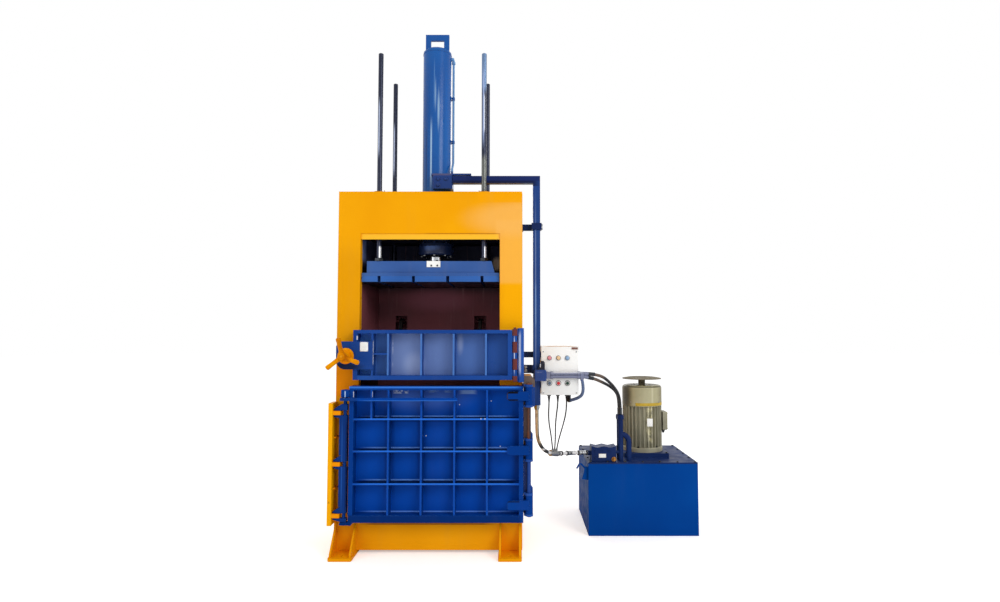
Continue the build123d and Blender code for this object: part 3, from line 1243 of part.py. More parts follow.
def hose_block():
    """Block on the duct that feeds the two arm pipes, with nuts, a tee and a switch plug."""
    body = block(HBLOCK_X0, HBLOCK_X1, HBLOCK_FRONT, HBLOCK_REAR, HBLOCK_Z0, HBLOCK_Z1)
    body = chamfer(body.edges().filter_by(Axis.Z).sort_by(Axis.Y)[:2], 6)
    duct_front = DUCT_Y - DUCT_W / 2
    pad = block(HBLOCK_X0, DUCT_X + DUCT_W / 2, HBLOCK_REAR, duct_front, HBLOCK_Z0, HBLOCK_Z1)
    pieces = [body, pad]
    for z, route in zip(ARM_Z, (PRESSURE_FRONT, PRESSURE_REAR)):
        bend = Vector(ARM_X1, ARM_Y, z)
        pieces.append(bar_x(HBLOCK_X1, ARM_X1, ARM_Y, z, ARM_R))
        pieces.append(Pos(bend) * Sphere(ARM_NUT_R))
        pieces.append(spigot(bend, Vector(*route[1]) - bend, ARM_NUT_R, SWIVEL_L))
    mid_z = sum(ARM_Z) / 2
    height = ARM_Z[0] - ARM_Z[1]
    pieces.append(block(HBLOCK_X1, HBLOCK_X1 + ARM_NUT_L, ARM_Y - ARM_NUT_R, ARM_Y + ARM_NUT_R,
                        mid_z - height / 2 - ARM_NUT_R, mid_z + height / 2 + ARM_NUT_R))
    tee = block(TEE_X - 12, TEE_X + 12, ARM_Y - ARM_NUT_R, ARM_Y + ARM_NUT_R,
                ARM_Z[1] - ARM_NUT_R, ARM_Z[0] + ARM_NUT_R)
    lead = Vector(*CONDUIT[1]) - Vector(*CONDUIT[0])
    back = lead.normalized() * -14
    start = Vector(*CONDUIT[0])
    stub = spigot(start + back, lead, CONDUIT_R + 2, 14)
    top = HBLOCK_Z1 + PLUG_H
    plug = slab_xz([(PLUG_X - 34, HBLOCK_Z1), (PLUG_X + 16, HBLOCK_Z1), (PLUG_X + 16, top - 8),
                    (PLUG_X + 8, top), (PLUG_X - 6, top)], ARM_Y - PLUG_R, ARM_Y + PLUG_R)
    return fuse(pieces + [tee, stub, plug])


# Power pack

def oil_tank():
    """Welded tank, open at the top under its lid, with a lug and a hook on its left."""
    tank = block(TANK_X0, TANK_X1, TANK_Y0, TANK_Y1, 0, TANK_H)
    tank -= block(TANK_X0 + TANK_T, TANK_X1 - TANK_T, TANK_Y0 + TANK_T, TANK_Y1 - TANK_T,
                  TANK_T, TANK_H)
    y0 = TANK_Y0 + LUG_IN_Y
    y1 = y0 + LUG_THICK
    lug = slab_xz([(TANK_X0, TANK_H - 24), (TANK_X0 - LUG_REACH / 2, TANK_H - 24),
                   (TANK_X0 - LUG_REACH, TANK_H - LUG_DROP + 8), (TANK_X0, TANK_H - LUG_DROP)],
                  y0, y1)
    y = (y0 + y1) / 2
    root = Vector(TANK_X0 - HOOK_ROOT, y, TANK_H - HOOK_LOW + 2)
    bend = Vector(TANK_X0 - HOOK_CREST, y, TANK_H + 2)
    tip = Vector(TANK_X0 - HOOK_TIP, y, TANK_H - HOOK_LOW)
    path = FilletPolyline(root, bend, tip, radius=[12])
    hook = sweep(Plane(origin=root, z_dir=bend - root) * Circle(HOOK_R), path=path)
    return fuse([tank, lug, hook])


def tank_lid():
    """Lid with the raised motor seat, bored for the bell."""
    lid = block(TANK_X0, TANK_X1, TANK_Y0, TANK_Y1, TANK_H, TANK_TOP)
    half = PEDESTAL_W / 2
    seat = block(MOTOR_X - half, MOTOR_X + half, MOTOR_Y - half, MOTOR_Y + half,
                 TANK_TOP, PEDESTAL_TOP)
    seat = fillet(seat.edges().filter_by(Axis.Z), 12)
    return lid + seat - post(MOTOR_X, MOTOR_Y, TANK_H, PEDESTAL_TOP, BELL_R)


def motor_housing():
    """Finned motor shell on its round flange."""
    flange = post(MOTOR_X, MOTOR_Y, PEDESTAL_TOP, MOTOR_Z0, MOTOR_FLANGE_R)
    flange = chamfer(flange.edges().group_by(Axis.Z)[-1], 7)
    body = post(MOTOR_X, MOTOR_Y, MOTOR_Z0, MOTOR_Z1, MOTOR_BODY_R)
    shell = flange + body
    fin = block(MOTOR_BODY_R - 4, MOTOR_FIN_R, -MOTOR_FIN_T / 2, MOTOR_FIN_T / 2, MOTOR_Z0, MOTOR_Z1)
    fins = [Pos(MOTOR_X, MOTOR_Y, 0) * Rot(0, 0, 360.0 * i / MOTOR_FINS) * fin
            for i in range(MOTOR_FINS) if i != 0]
    shell = shell + fins
    shell -= post(MOTOR_X, MOTOR_Y, MOTOR_Z0 + MOTOR_WALL, MOTOR_Z1 - MOTOR_WALL,
                  MOTOR_BODY_R - MOTOR_WALL)
    return shell - post(MOTOR_X, MOTOR_Y, PEDESTAL_TOP, MOTOR_Z1, SHAFT_R + SHAFT_RUN)


def fan_cover():
    """Domed sheet cover with air slots in its crown."""
    cover = post(MOTOR_X, MOTOR_Y, MOTOR_Z1, FAN_TOP, FAN_COVER_R)
    cover = fillet(cover.edges().group_by(Axis.Z)[-1], FAN_COVER_ROUND)
    inner = post(MOTOR_X, MOTOR_Y, MOTOR_Z1, FAN_TOP - FAN_COVER_T, FAN_COVER_R - FAN_COVER_T)
    inner = chamfer(inner.edges().group_by(Axis.Z)[-1], FAN_COVER_ROUND - FAN_COVER_T)
    cover -= inner
    slot = block(VENT_R0, VENT_R1, -VENT_W / 2, VENT_W / 2, FAN_TOP - 2 * FAN_COVER_T, FAN_TOP)
    for i in range(FAN_VENTS):
        cover -= Pos(MOTOR_X, MOTOR_Y, 0) * Rot(0, 0, 360.0 * i / FAN_VENTS) * slot
    rim = post(MOTOR_X, MOTOR_Y, MOTOR_Z1, MOTOR_Z1 + 10, FAN_COVER_R - FAN_COVER_T)
    rim -= post(MOTOR_X, MOTOR_Y, MOTOR_Z1, MOTOR_Z1 + 10, MOTOR_BODY_R - 6)
    return cover + rim


def motor_canopy():
    """Round rain canopy on a short post."""
    stem = post(MOTOR_X, MOTOR_Y, FAN_TOP, CANOPY_Z, CANOPY_POST_R)
    z = CANOPY_Z
    profile = make_face(Polyline((0, 0, z), (CANOPY_R, 0, z), (CANOPY_R, 0, z + CANOPY_T),
                                 (CANOPY_R * 0.72, 0, z + 12), (0, 0, z + 16), close=True))
    return stem + Pos(MOTOR_X, MOTOR_Y, 0) * revolve(profile, Axis.Z)


def terminal_box():
    """Box on the motor's right side, on a neck between the fins."""
    x0 = MOTOR_X + MOTOR_FIN_R + 1
    box = block(x0, TBOX_X1, MOTOR_Y - TBOX_HALF_D, MOTOR_Y + TBOX_HALF_D, TBOX_Z0, TBOX_Z1)
    box = fillet(box.edges().filter_by(Axis.X), 8)
    neck = block(MOTOR_X + MOTOR_BODY_R, x0, MOTOR_Y - 9, MOTOR_Y + 9, TBOX_Z0 + 20, TBOX_Z1 - 20)
    neck -= post(MOTOR_X, MOTOR_Y, TBOX_Z0, TBOX_Z1, MOTOR_BODY_R)
    return box + neck


def bell_housing():
    """Bell that hangs under the motor's flange and carries the pump in the tank."""
    z1 = PEDESTAL_TOP
    bell = post(MOTOR_X, MOTOR_Y, z1 - BELL_H, z1, BELL_R)
    bell -= post(MOTOR_X, MOTOR_Y, z1 - BELL_H + BELL_WALL, z1, BELL_R - BELL_WALL)
    return bell - post(MOTOR_X, MOTOR_Y, z1 - BELL_H, z1, SHAFT_R + SHAFT_RUN)


def gear_pump():
    """Pump body under the bell, with its suction stub."""
    z1 = PEDESTAL_TOP - BELL_H
    body = block(MOTOR_X - PUMP_HALF, MOTOR_X + PUMP_HALF, MOTOR_Y - PUMP_HALF, MOTOR_Y + PUMP_HALF,
                 z1 - PUMP_H, z1)
    body = fillet(body.edges().filter_by(Axis.Z), 14)
    body += post(MOTOR_X, MOTOR_Y, z1 - PUMP_H - SUCTION_L, z1 - PUMP_H, SUCTION_R)
    return body - post(MOTOR_X, MOTOR_Y, z1 - 60, z1, SHAFT_R + SHAFT_RUN)


def rotor_shaft():
    """Motor shaft with its rotor stack, from the pump to the fan."""
    z0 = PEDESTAL_TOP - BELL_H - 56
    shaft = post(MOTOR_X, MOTOR_Y, z0, MOTOR_Z1 + 70, SHAFT_R)
    middle = (MOTOR_Z0 + MOTOR_Z1) / 2
    stack = post(MOTOR_X, MOTOR_Y, middle - ROTOR_H / 2, middle + ROTOR_H / 2, ROTOR_R)
    return shaft + stack


def cooling_fan():
    """Radial fan on the shaft's top."""
    z0 = MOTOR_Z1 + 22
    z1 = MOTOR_Z1 + 70
    fan = post(MOTOR_X, MOTOR_Y, z0, z1, FAN_HUB_R) + post(MOTOR_X, MOTOR_Y, z0, z0 + 4, FAN_R)
    blade = block(FAN_HUB_R - 4, FAN_R, -2, 2, z0, z1)
    for i in range(FAN_BLADES):
        fan += Pos(MOTOR_X, MOTOR_Y, 0) * Rot(0, 0, 360.0 * i / FAN_BLADES) * blade
    return fan - post(MOTOR_X, MOTOR_Y, z0, z1, SHAFT_R)


def valve_manifold():
    """Valve block with a waved top, and the nut that takes the return hose."""
    z0 = TANK_TOP
    steps = 12
    top = []
    for i in range(steps + 1):
        x = VALVE_X1 + (VALVE_X0 - VALVE_X1) * i / steps
        top.append((x, VALVE_Z1 - VALVE_WAVE * (1 - cos(4 * pi * i / steps)) / 2))
    body = slab_xz([(VALVE_X0, z0), (VALVE_X1, z0)] + top, VALVE_Y0, VALVE_Y1)
    end = Vector(*RETURN_ROUTE[-1])
    nut = bar_x(VALVE_X0 - RETURN_NUT_L, VALVE_X0, end.Y, end.Z, RETURN_R + 6)
    return body + nut


def riser_pipes():
    """Two risers beside the motor with hose nuts, a link and a bent branch to the tank."""
    z0 = TANK_TOP
    pieces = []
    for y, top in zip(RISER_Y, RISER_TOP):
        pieces.append(post(RISER_X, y, z0, top - RISER_NUT_H, RISER_R)
                      + post(RISER_X, y, top - RISER_NUT_H, top, RISER_NUT_R))
    link = bar_x(VALVE_X1, RISER_X, RISER_Y[0], z0 + 60, 12)
    start = Vector(RISER_X, RISER_Y[0], BRANCH_Z)
    path = FilletPolyline(start, (BRANCH_X, RISER_Y[0], BRANCH_Z), (BRANCH_X, RISER_Y[0], z0),
                          radius=[BRANCH_BEND])
    branch = sweep(Plane(origin=start, z_dir=(1, 0, 0)) * Circle(RISER_R), path=path)
    return group([fuse([pieces[0], link, branch]), pieces[1]])


def return_collar(hose):
    """Rubber collar round the return hose that takes in the three cables from the box."""
    lead = COLLAR_RUN.normalized()
    sleeve = spigot(COLLAR_AT - lead * (COLLAR_L / 2), lead, COLLAR_OUT_R, COLLAR_L)
    pieces = [sleeve]
    for route in (CABLE_LEFT, CABLE_MIDDLE, CABLE_RIGHT):
        end = Vector(*route[-1])
        run = end - Vector(*route[-2])
        pieces.append(spigot(end, run, CABLE_R + 3, 16))
    return fuse(pieces) - hose


def claw(x):
    """Hooked retaining claw on its pin."""
    y, z = CLAW_PIN_Y, CLAW_PIN_Z
    outline = [(y - 8, z + CLAW_EYE_R), (y - 74, z + 4), (y - CLAW_REACH, z - CLAW_DROP + 12),
               (y - CLAW_REACH + 9, z - CLAW_DROP), (y - 26, z - 21), (y, z - CLAW_EYE_R)]
    x0, x1 = x - CLAW_T / 2, x + CLAW_T / 2
    body = slab_yz(outline, x0, x1) + bar_x(x0, x1, y, z, CLAW_EYE_R)
    return body - bar_x(x0, x1, y, z, CLAW_PIN_R + HINGE_RUN)


hose_return = cord("return_hose", RETURN_ROUTE, RETURN_R)

PARTS = {
    "base_frame": base_frame(),
    "floor_feet": floor_feet(),
    "front_portal": front_portal(),
    "side_columns": side_columns(),
    "rear_portal": rear_portal(),
    "head_beam": head_beam(),
    "rod_guides": rod_guides(),
    "chamber_side_walls": chamber_side_walls(),
    "chamber_back_wall": chamber_back_wall(),
    "chamber_floor": chamber_floor(),
    "hinge_mounts": hinge_mounts(),
    "hinge_pins": hinge_pins(),
    "keepers": keepers(),
    "cylinder_barrel": cylinder_barrel(),
    "cylinder_gland": cylinder_gland(),
    "cylinder_cap": cylinder_cap(),
    "port_block": port_block(),
    "pipe_duct": pipe_duct(),
    "duct_brackets": duct_brackets(),
    "platen": platen(),
    "platen_shoes": platen_shoes(),
    "guide_rods": guide_rods(),
    "piston_rod": piston_rod(),
    "switch_plate": switch_plate(),
    "upper_door": upper_door(),
    "latch_plate": latch_plate(),
    "hand_wheel": hand_wheel(),
    "latch_screw": latch_screw(),
    "lower_door": lower_door(),
    "lock_shaft": lock_shaft(),
    "control_box": control_box(),
    "control_cover": control_cover(),
    "indicator_lamps": indicator_lamps(),
    "cable_glands": cable_glands(),
    "hose_block": hose_block(),
    "oil_tank": oil_tank(),
    "tank_lid": tank_lid(),
    "motor_housing": motor_housing(),
    "fan_cover": fan_cover(),
    "motor_canopy": motor_canopy(),
    "terminal_box": terminal_box(),
    "bell_housing": bell_housing(),
    "gear_pump": gear_pump(),
    "rotor_shaft": rotor_shaft(),
    "cooling_fan": cooling_fan(),
    "valve_manifold": valve_manifold(),
    "riser_pipes": riser_pipes(),
    "cable_collar": return_collar(hose_return),
    "return_hose": hose_return,
    "pressure_hose_front": cord("pressure_hose_front", lead_off(PRESSURE_FRONT, SWIVEL_L), HOSE_R),
    "pressure_hose_rear": cord("pressure_hose_rear", lead_off(PRESSURE_REAR, SWIVEL_L), HOSE_R),
    "control_cable_left": cord("control_cable_left", CABLE_LEFT, CABLE_R),
    "control_cable_middle": cord("control_cable_middle", CABLE_MIDDLE, CABLE_R),
    "control_cable_right": cord("control_cable_right", CABLE_RIGHT, CABLE_R),
    "conduit_loop": cord("conduit_loop", CONDUIT, CONDUIT_R),
}
for side, x in zip(("left", "right"), CLAW_X):
    PARTS[f"claw_{side}"] = claw(x)
for name, x in zip(("button_up", "button_stop", "button_down"), LAMP_X):
    PARTS[name] = push_button(x)

os.makedirs("parts", exist_ok=True)
for name, shape in PARTS.items():
    export_step(shape, f"parts/{name}.step")
print(len(PARTS), "nodes written")
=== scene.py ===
"""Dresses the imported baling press: its finishes, small hardware, hoses and a plain studio."""
import logging
import math
from collections.abc import Callable, Sequence
from dataclasses import dataclass, replace
from enum import Enum
from functools import partial
from typing import Protocol

import bmesh
import bpy
from mathutils import Matrix, Vector


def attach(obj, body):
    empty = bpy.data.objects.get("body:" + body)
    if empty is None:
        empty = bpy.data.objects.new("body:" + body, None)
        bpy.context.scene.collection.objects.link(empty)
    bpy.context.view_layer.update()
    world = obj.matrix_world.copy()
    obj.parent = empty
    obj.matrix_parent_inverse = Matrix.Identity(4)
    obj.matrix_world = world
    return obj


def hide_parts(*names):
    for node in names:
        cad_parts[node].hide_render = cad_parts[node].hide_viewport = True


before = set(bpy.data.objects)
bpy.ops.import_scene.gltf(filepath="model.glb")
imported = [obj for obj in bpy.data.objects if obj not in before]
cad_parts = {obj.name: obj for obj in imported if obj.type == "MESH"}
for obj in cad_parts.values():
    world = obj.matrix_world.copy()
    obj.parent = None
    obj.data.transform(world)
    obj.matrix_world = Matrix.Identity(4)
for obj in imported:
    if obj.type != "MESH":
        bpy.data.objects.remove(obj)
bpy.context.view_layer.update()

UP = Vector((0.0, 0.0, 1.0))
DOWN = Vector((0.0, 0.0, -1.0))
FRONT = Vector((0.0, -1.0, 0.0))
RIGHT = Vector((1.0, 0.0, 0.0))
WHITE = (1.0, 1.0, 1.0, 1.0)
SHARP_EDGE = 40.0
BEAD_SMOOTH = 60.0
ROD_X, ROD_Y = 0.355, 0.255

log = logging.getLogger("press")

Piece = bpy.types.Object
Material = bpy.types.Material
Socket = bpy.types.NodeSocket
Point = Sequence[float]
Spot = tuple[float, float, float]
Box = tuple[Spot, Spot]
Outline = Sequence[tuple[float, float]]
Runs = list[tuple[Point, Point]]
Fittings = Callable[[Sequence[Vector]], list[Piece]]

# A hexagon head, its washer and a socket screw, in shares of their radius and height
HEX_HEAD = ((0.99, 0.0), (1.0, 0.05), (1.0, 0.82), (0.86, 1.0), (0.5, 1.0), (0.44, 0.93))
WASHER = ((1.22, 0.0), (1.3, 0.4), (1.22, 1.0), (0.9, 1.0))
SOCKET_HEAD = ((1.0, 0.0), (1.0, 0.8), (0.88, 1.0), (0.5, 1.0), (0.46, 0.45))


class Body(Enum):
    """The bodies that pieces ride on."""

    ROOT = "root"
    PLATEN = "platen_group"
    UPPER_DOOR = "upper_door_group"
    WHEEL = "latch_wheel"
    LOWER_DOOR = "lower_door_group"


# Modelling with Blender's own operators


def lay_down() -> None:
    """Leaves edit mode and deselects every object."""
    if bpy.context.object and bpy.context.object.mode != "OBJECT":
        bpy.ops.object.mode_set(mode="OBJECT")
    bpy.ops.object.select_all(action="DESELECT")


def take(*pieces: Piece) -> None:
    """Selects only these pieces and makes the first one active."""
    lay_down()
    for piece in pieces:
        piece.select_set(True)
    bpy.context.view_layer.objects.active = pieces[0]


def fix_place(piece: Piece) -> Piece:
    """Moves a piece's place, turn and scale into its mesh."""
    take(piece)
    bpy.ops.object.transform_apply(location=True, rotation=True, scale=True)
    return piece


def settle(piece: Piece, modifier: bpy.types.Modifier) -> Piece:
    """Applies a modifier to its piece."""
    take(piece)
    bpy.ops.object.modifier_apply(modifier=modifier.name)
    return piece


def aim(at: Point, along: Point, spin: float = 0.0) -> Matrix:
    """The place that stands a piece's own Z along a direction.

    Args:
        at: Where the piece's foot stands.
        along: Where its Z axis points.
        spin: Turn about that axis, in radians.

    Returns:
        The matrix for the piece.
    """
    turn = Vector(along).to_track_quat("Z", "Y").to_matrix().to_4x4()
    return Matrix.Translation(Vector(at)) @ turn @ Matrix.Rotation(spin, 4, "Z")


def stand(piece: Piece, at: Point, along: Point) -> Piece:
    """Stands a piece made at the origin at a place, with its Z axis along a direction."""
    piece.matrix_world = aim(at, along)
    return fix_place(piece)


def bar(name: str, low: Point, high: Point, soften: float, steps: int = 2) -> Piece:
    """A bar or plate between two corners with softened edges.

    Args:
        name: The piece's name.
        low: Its lowest corner.
        high: Its highest corner.
        soften: Width of the rounded edges.
        steps: Faces across each rounded edge.

    Returns:
        The new piece.
    """
    lay_down()
    middle = (Vector(low) + Vector(high)) / 2
    bpy.ops.mesh.primitive_cube_add(size=1.0, location=middle, scale=Vector(high) - Vector(low))
    piece = fix_place(bpy.context.object)
    piece.name = name
    bevel = piece.modifiers.new("edges", "BEVEL")
    bevel.width = soften
    bevel.segments = steps
    bevel.limit_method = "ANGLE"
    bevel.angle_limit = math.radians(SHARP_EDGE)
    return settle(piece, bevel)


def profile(shape: Outline, radius: float, height: float = 1.0,
            foot: float = 0.0) -> list[tuple[float, float]]:
    """Scales an outline of shares.

    Args:
        shape: Shares of the radius and of the height, ring by ring.
        radius: The radius of share 1.
        height: The height of share 1.
        foot: The height of share 0.

    Returns:
        Radius and height of each ring in metres.
    """
    return [(radius * share, foot + height * up) for share, up in shape]


def turned(name: str, outline: Outline, sides: int = 24) -> Piece:
    """A turned piece on the origin, extruded ring by ring from its foot.

    Args:
        name: The piece's name.
        outline: Radius and height of each ring, from the foot on.
        sides: Corners of each ring; six makes a hexagon.

    Returns:
        The new piece, closed at both ends.
    """
    lay_down()
    radius, height = outline[0]
    bpy.ops.mesh.primitive_circle_add(vertices=sides, radius=radius, fill_type="NGON",
                                      location=(0.0, 0.0, height))
    piece = bpy.context.object
    piece.name = name
    bpy.ops.object.mode_set(mode="EDIT")
    bpy.ops.mesh.select_all(action="SELECT")
    for (near, low), (far, high) in zip(outline, outline[1:]):
        bpy.ops.mesh.extrude_region_move(TRANSFORM_OT_translate={"value": (0.0, 0.0, high - low)})
        share = far / near
        bpy.ops.transform.resize(value=(share, share, 1.0), center_override=(0.0, 0.0, high))
    bpy.ops.mesh.select_all(action="SELECT")
    bpy.ops.mesh.normals_make_consistent(inside=False)
    bpy.ops.object.mode_set(mode="OBJECT")
    return fix_place(piece)


def pick_faces(piece: Piece, wanted: Callable[[Vector], bool]) -> None:
    """Selects the faces whose centre is wanted, in edit mode."""
    bpy.ops.mesh.select_mode(type="FACE")
    mesh = bmesh.from_edit_mesh(piece.data)
    for face in mesh.faces:
        face.select_set(wanted(face.calc_center_median()))
    bmesh.update_edit_mesh(piece.data)


def merge(name: str, pieces: Sequence[Piece]) -> Piece:
    """Joins pieces into one of this name."""
    take(*pieces)
    if len(pieces) > 1:
        bpy.ops.object.join()
    whole = bpy.context.object
    whole.name = name
    return whole


def spread(piece: Piece, places: Sequence[Matrix]) -> Piece:
    """Copies a piece to each place, each copy with its own mesh, and joins the copies.

    Args:
        piece: The piece made once at the origin.
        places: Where the copies go.

    Returns:
        One piece under the first one's name.
    """
    name = piece.name
    copies = []
    for place in places:
        copy = piece.copy()
        copy.data = piece.data.copy()
        bpy.context.collection.objects.link(copy)
        copy.matrix_world = place
        copies.append(copy)
    bpy.data.objects.remove(piece)
    take(*copies)
    bpy.ops.object.transform_apply(location=True, rotation=True, scale=True)
    return merge(name, copies)


def hex_bolt(name: str, size: float, head: float, washer: float = 0.0) -> Piece:
    """A hexagon head with its washer face, standing on the origin.

    Args:
        name: The piece's name.
        size: Radius over the head's corners.
        head: Height of the head.
        washer: Thickness of the washer under it, if any.

    Returns:
        The new piece.
    """
    crown = turned(name, profile(HEX_HEAD, size, head, washer), 6)
    if washer <= 0.0:
        return crown
    base = turned(name + "_washer", profile(WASHER, size, washer), 20)
    return merge(name, [base, crown])


def socket_screw(name: str, size: float, head: float) -> Piece:
    """A round screw head with a hexagon socket sunk in it, of this radius and height."""
    return turned(name, profile(SOCKET_HEAD, size, head), 18)


def seam(name: str, runs: Sequence[tuple[Point, Point]], width: float,
         pitch: float) -> Piece:
    """Weld beads laid along straight runs, one ripple repeated by an applied array.

    Args:
        name: The piece's name.
        runs: Start and end of each bead.
        width: How wide the bead is.
        pitch: From ripple to ripple.

    Returns:
        One piece with all the beads.
    """
    beads = []
    for index, (start, end) in enumerate(runs):
        run = Vector(end) - Vector(start)
        lay_down()
        bpy.ops.mesh.primitive_ico_sphere_add(subdivisions=1, radius=1.0,
                                              scale=(width * 0.55, width * 0.55, pitch * 0.85))
        bead = fix_place(bpy.context.object)
        bead.name = f"{name}_{index}"
        bpy.ops.object.mode_set(mode="EDIT")
        pick_faces(bead, lambda centre: centre.z > pitch * 0.2)
        bpy.ops.transform.resize(value=(0.82, 0.82, 1.0), center_override=(0.0, 0.0, 0.0))
        bpy.ops.object.mode_set(mode="OBJECT")
        ripples = bead.modifiers.new("ripples", "ARRAY")
        ripples.use_relative_offset = False
        ripples.use_constant_offset = True
        ripples.constant_offset_displace = (0.0, 0.0, pitch)
        ripples.count = max(2, int(run.length / pitch))
        beads.append(stand(settle(bead, ripples), start, run))
    return merge(name, beads)


def upright(x: float, y: float, heights: tuple[float, float]) -> tuple[Point, Point]:
    """A straight run up from one height to another."""
    low, high = heights
    return (x, y, low), (x, y, high)


def ring_places(centre: Point, radius: float, count: int, axis: Point = UP,
                first: float = 0.0) -> list[Matrix]:
    """Places round a circle that all point along its axis.

    Args:
        centre: The circle's middle.
        radius: Its radius.
        count: How many places.
        axis: The circle's axis.
        first: Angle of the first place, in radians.

    Returns:
        One matrix for each place.
    """
    angles = [first + 2.0 * math.pi * index / count for index in range(count)]
    return [aim(centre, axis) @ Matrix.Translation((radius * math.cos(angle),
                                                    radius * math.sin(angle), 0.0))
            for angle in angles]


# Materials


def tone(code: str) -> tuple[float, float, float, float]:
    """A colour written as #rrggbb in Blender's linear numbers."""
    parts = [int(code[i:i + 2], 16) / 255.0 for i in (1, 3, 5)]
    linear = [p / 12.92 if p <= 0.04045 else ((p + 0.055) / 1.055) ** 2.4 for p in parts]
    return linear[0], linear[1], linear[2], 1.0


class Shade:
    """Builds one material's nodes round its Principled shader, from Object coordinates."""

    def __init__(self, name: str) -> None:
        """Starts an empty material.

        Args:
            name: The material's name.
        """
        self.material = bpy.data.materials.new(name)
        self.material.use_nodes = True
        self.tree = self.material.node_tree
        self.shader = self.tree.nodes["Principled BSDF"]
        self.place = self.node("ShaderNodeTexCoord").outputs["Object"]

    def node(self, kind: str, **settings: object) -> bpy.types.Node:
        """Adds a node with some of its settings."""
        made = self.tree.nodes.new(kind)
        for key, value in settings.items():
            setattr(made, key, value)
        return made

    def feed(self, socket: Socket, value: object) -> None:
        """Links an output to a socket, or writes a plain value on it."""
        if isinstance(value, Socket):
            self.tree.links.new(value, socket)
        else:
            socket.default_value = value

    def mapped(self, scale: Point, shift: Point = (0.0, 0.0, 0.0)) -> Socket:
        """The Object coordinates, moved and scaled."""
        made = self.node("ShaderNodeMapping")
        self.feed(made.inputs["Vector"], self.place)
        self.feed(made.inputs["Location"], tuple(shift))
        self.feed(made.inputs["Scale"], tuple(scale))
        return made.outputs["Vector"]

    def noise(self, scale: float, detail: float = 3.0, rough: float = 0.55,
              stretch: Point = (1.0, 1.0, 1.0), bend: float = 0.0) -> Socket:
        """A noise pattern.

        Args:
            scale: Patches per metre.
            detail: Layers of finer noise.
            rough: How strong the finer layers are.
            stretch: Scale along X, Y and Z.
            bend: How far the pattern warps itself.

        Returns:
            The factor, from 0 to 1.
        """
        made = self.node("ShaderNodeTexNoise")
        self.feed(made.inputs["Vector"], self.mapped(stretch))
        self.feed(made.inputs["Scale"], scale)
        self.feed(made.inputs["Detail"], detail)
        self.feed(made.inputs["Roughness"], rough)
        self.feed(made.inputs["Distortion"], bend)
        return made.outputs["Factor"] if "Factor" in made.outputs else made.outputs["Fac"]

    def span(self, value: object, low: float, high: float, to_low: float = 0.0,
             to_high: float = 1.0) -> Socket:
        """Maps a range of a value to another, clamped at both ends."""
        made = self.node("ShaderNodeMapRange", interpolation_type="SMOOTHSTEP")
        for socket, entry in zip(made.inputs, (value, low, high, to_low, to_high)):
            self.feed(socket, entry)
        return made.outputs["Result"]

    def work(self, operation: str, *values: object) -> Socket:
        """One Math node."""
        made = self.node("ShaderNodeMath", operation=operation, use_clamp=True)
        for socket, entry in zip(made.inputs, values):
            self.feed(socket, entry)
        return made.outputs["Value"]

    def mix(self, share: object, under: object, over: object) -> Socket:
        """Lays one colour over another."""
        made = self.node("ShaderNodeMix", data_type="RGBA")
        self.feed(made.inputs[0], share)
        self.feed(made.inputs[6], under)
        self.feed(made.inputs[7], over)
        return made.outputs[2]

    def ramp(self, value: Socket,
             stops: Sequence[tuple[float, str]]) -> Socket:
        """A colour ramp over a value.

        Args:
            value: What runs along the ramp.
            stops: Positions and colours.

        Returns:
            The colour.
        """
        made = self.node("ShaderNodeValToRGB")
        band = made.color_ramp
        while len(band.elements) < len(stops):
            band.elements.new(0.5)
        for element, (position, code) in zip(band.elements, stops):
            element.position = position
            element.color = tone(code)
        self.feed(made.inputs["Fac"], value)
        return made.outputs["Color"]

    def axis(self, letter: str) -> Socket:
        """One of the Object coordinates."""
        made = self.node("ShaderNodeSeparateXYZ")
        self.feed(made.inputs["Vector"], self.place)
        return made.outputs[letter]

    def near(self, centre: Point, reach: Point, form: "Form", core: float) -> Socket:
        """How far inside a place a point is, from 1 in its core to 0 on its border.

        Args:
            centre: The place's middle.
            reach: Its half size along X, Y and Z.
            form: Whether it is an ellipsoid or a box.
            core: The share of its reach that is at full strength.

        Returns:
            The factor.
        """
        scale = tuple(1.0 / r for r in reach)
        shift = tuple(-c * s for c, s in zip(centre, scale))
        spot = self.mapped(scale, shift)
        if form is Form.BOX:
            size = self.node("ShaderNodeVectorMath", operation="ABSOLUTE")
            self.feed(size.inputs[0], spot)
            parts = self.node("ShaderNodeSeparateXYZ")
            self.feed(parts.inputs["Vector"], size.outputs["Vector"])
            far = self.work("MAXIMUM", parts.outputs["X"], parts.outputs["Y"])
            far = self.work("MAXIMUM", far, parts.outputs["Z"])
        else:
            size = self.node("ShaderNodeVectorMath", operation="LENGTH")
            self.feed(size.inputs[0], spot)
            far = size.outputs["Value"]
        return self.span(far, core, 1.0, 1.0, 0.0)

    def patched(self, colour: object, patches: Sequence["Patch"],
                back: float | None = None) -> object:
        """Lays patches over a colour one by one, but none behind the Y value back, if any."""
        start = colour
        for patch in patches:
            share = self.work("MULTIPLY", patch.share,
                              self.near(patch.centre, patch.reach, patch.form, patch.core))
            if patch.ragged > 0.0:
                torn = self.span(self.noise(patch.ragged, 4.0, 0.65), 0.42, 0.58)
                share = self.work("MULTIPLY", share, torn)
            colour = self.mix(share, colour, tone(patch.colour))
        if back is not None:
            colour = self.mix(self.work("LESS_THAN", self.axis("Y"), back), start, colour)
        return colour

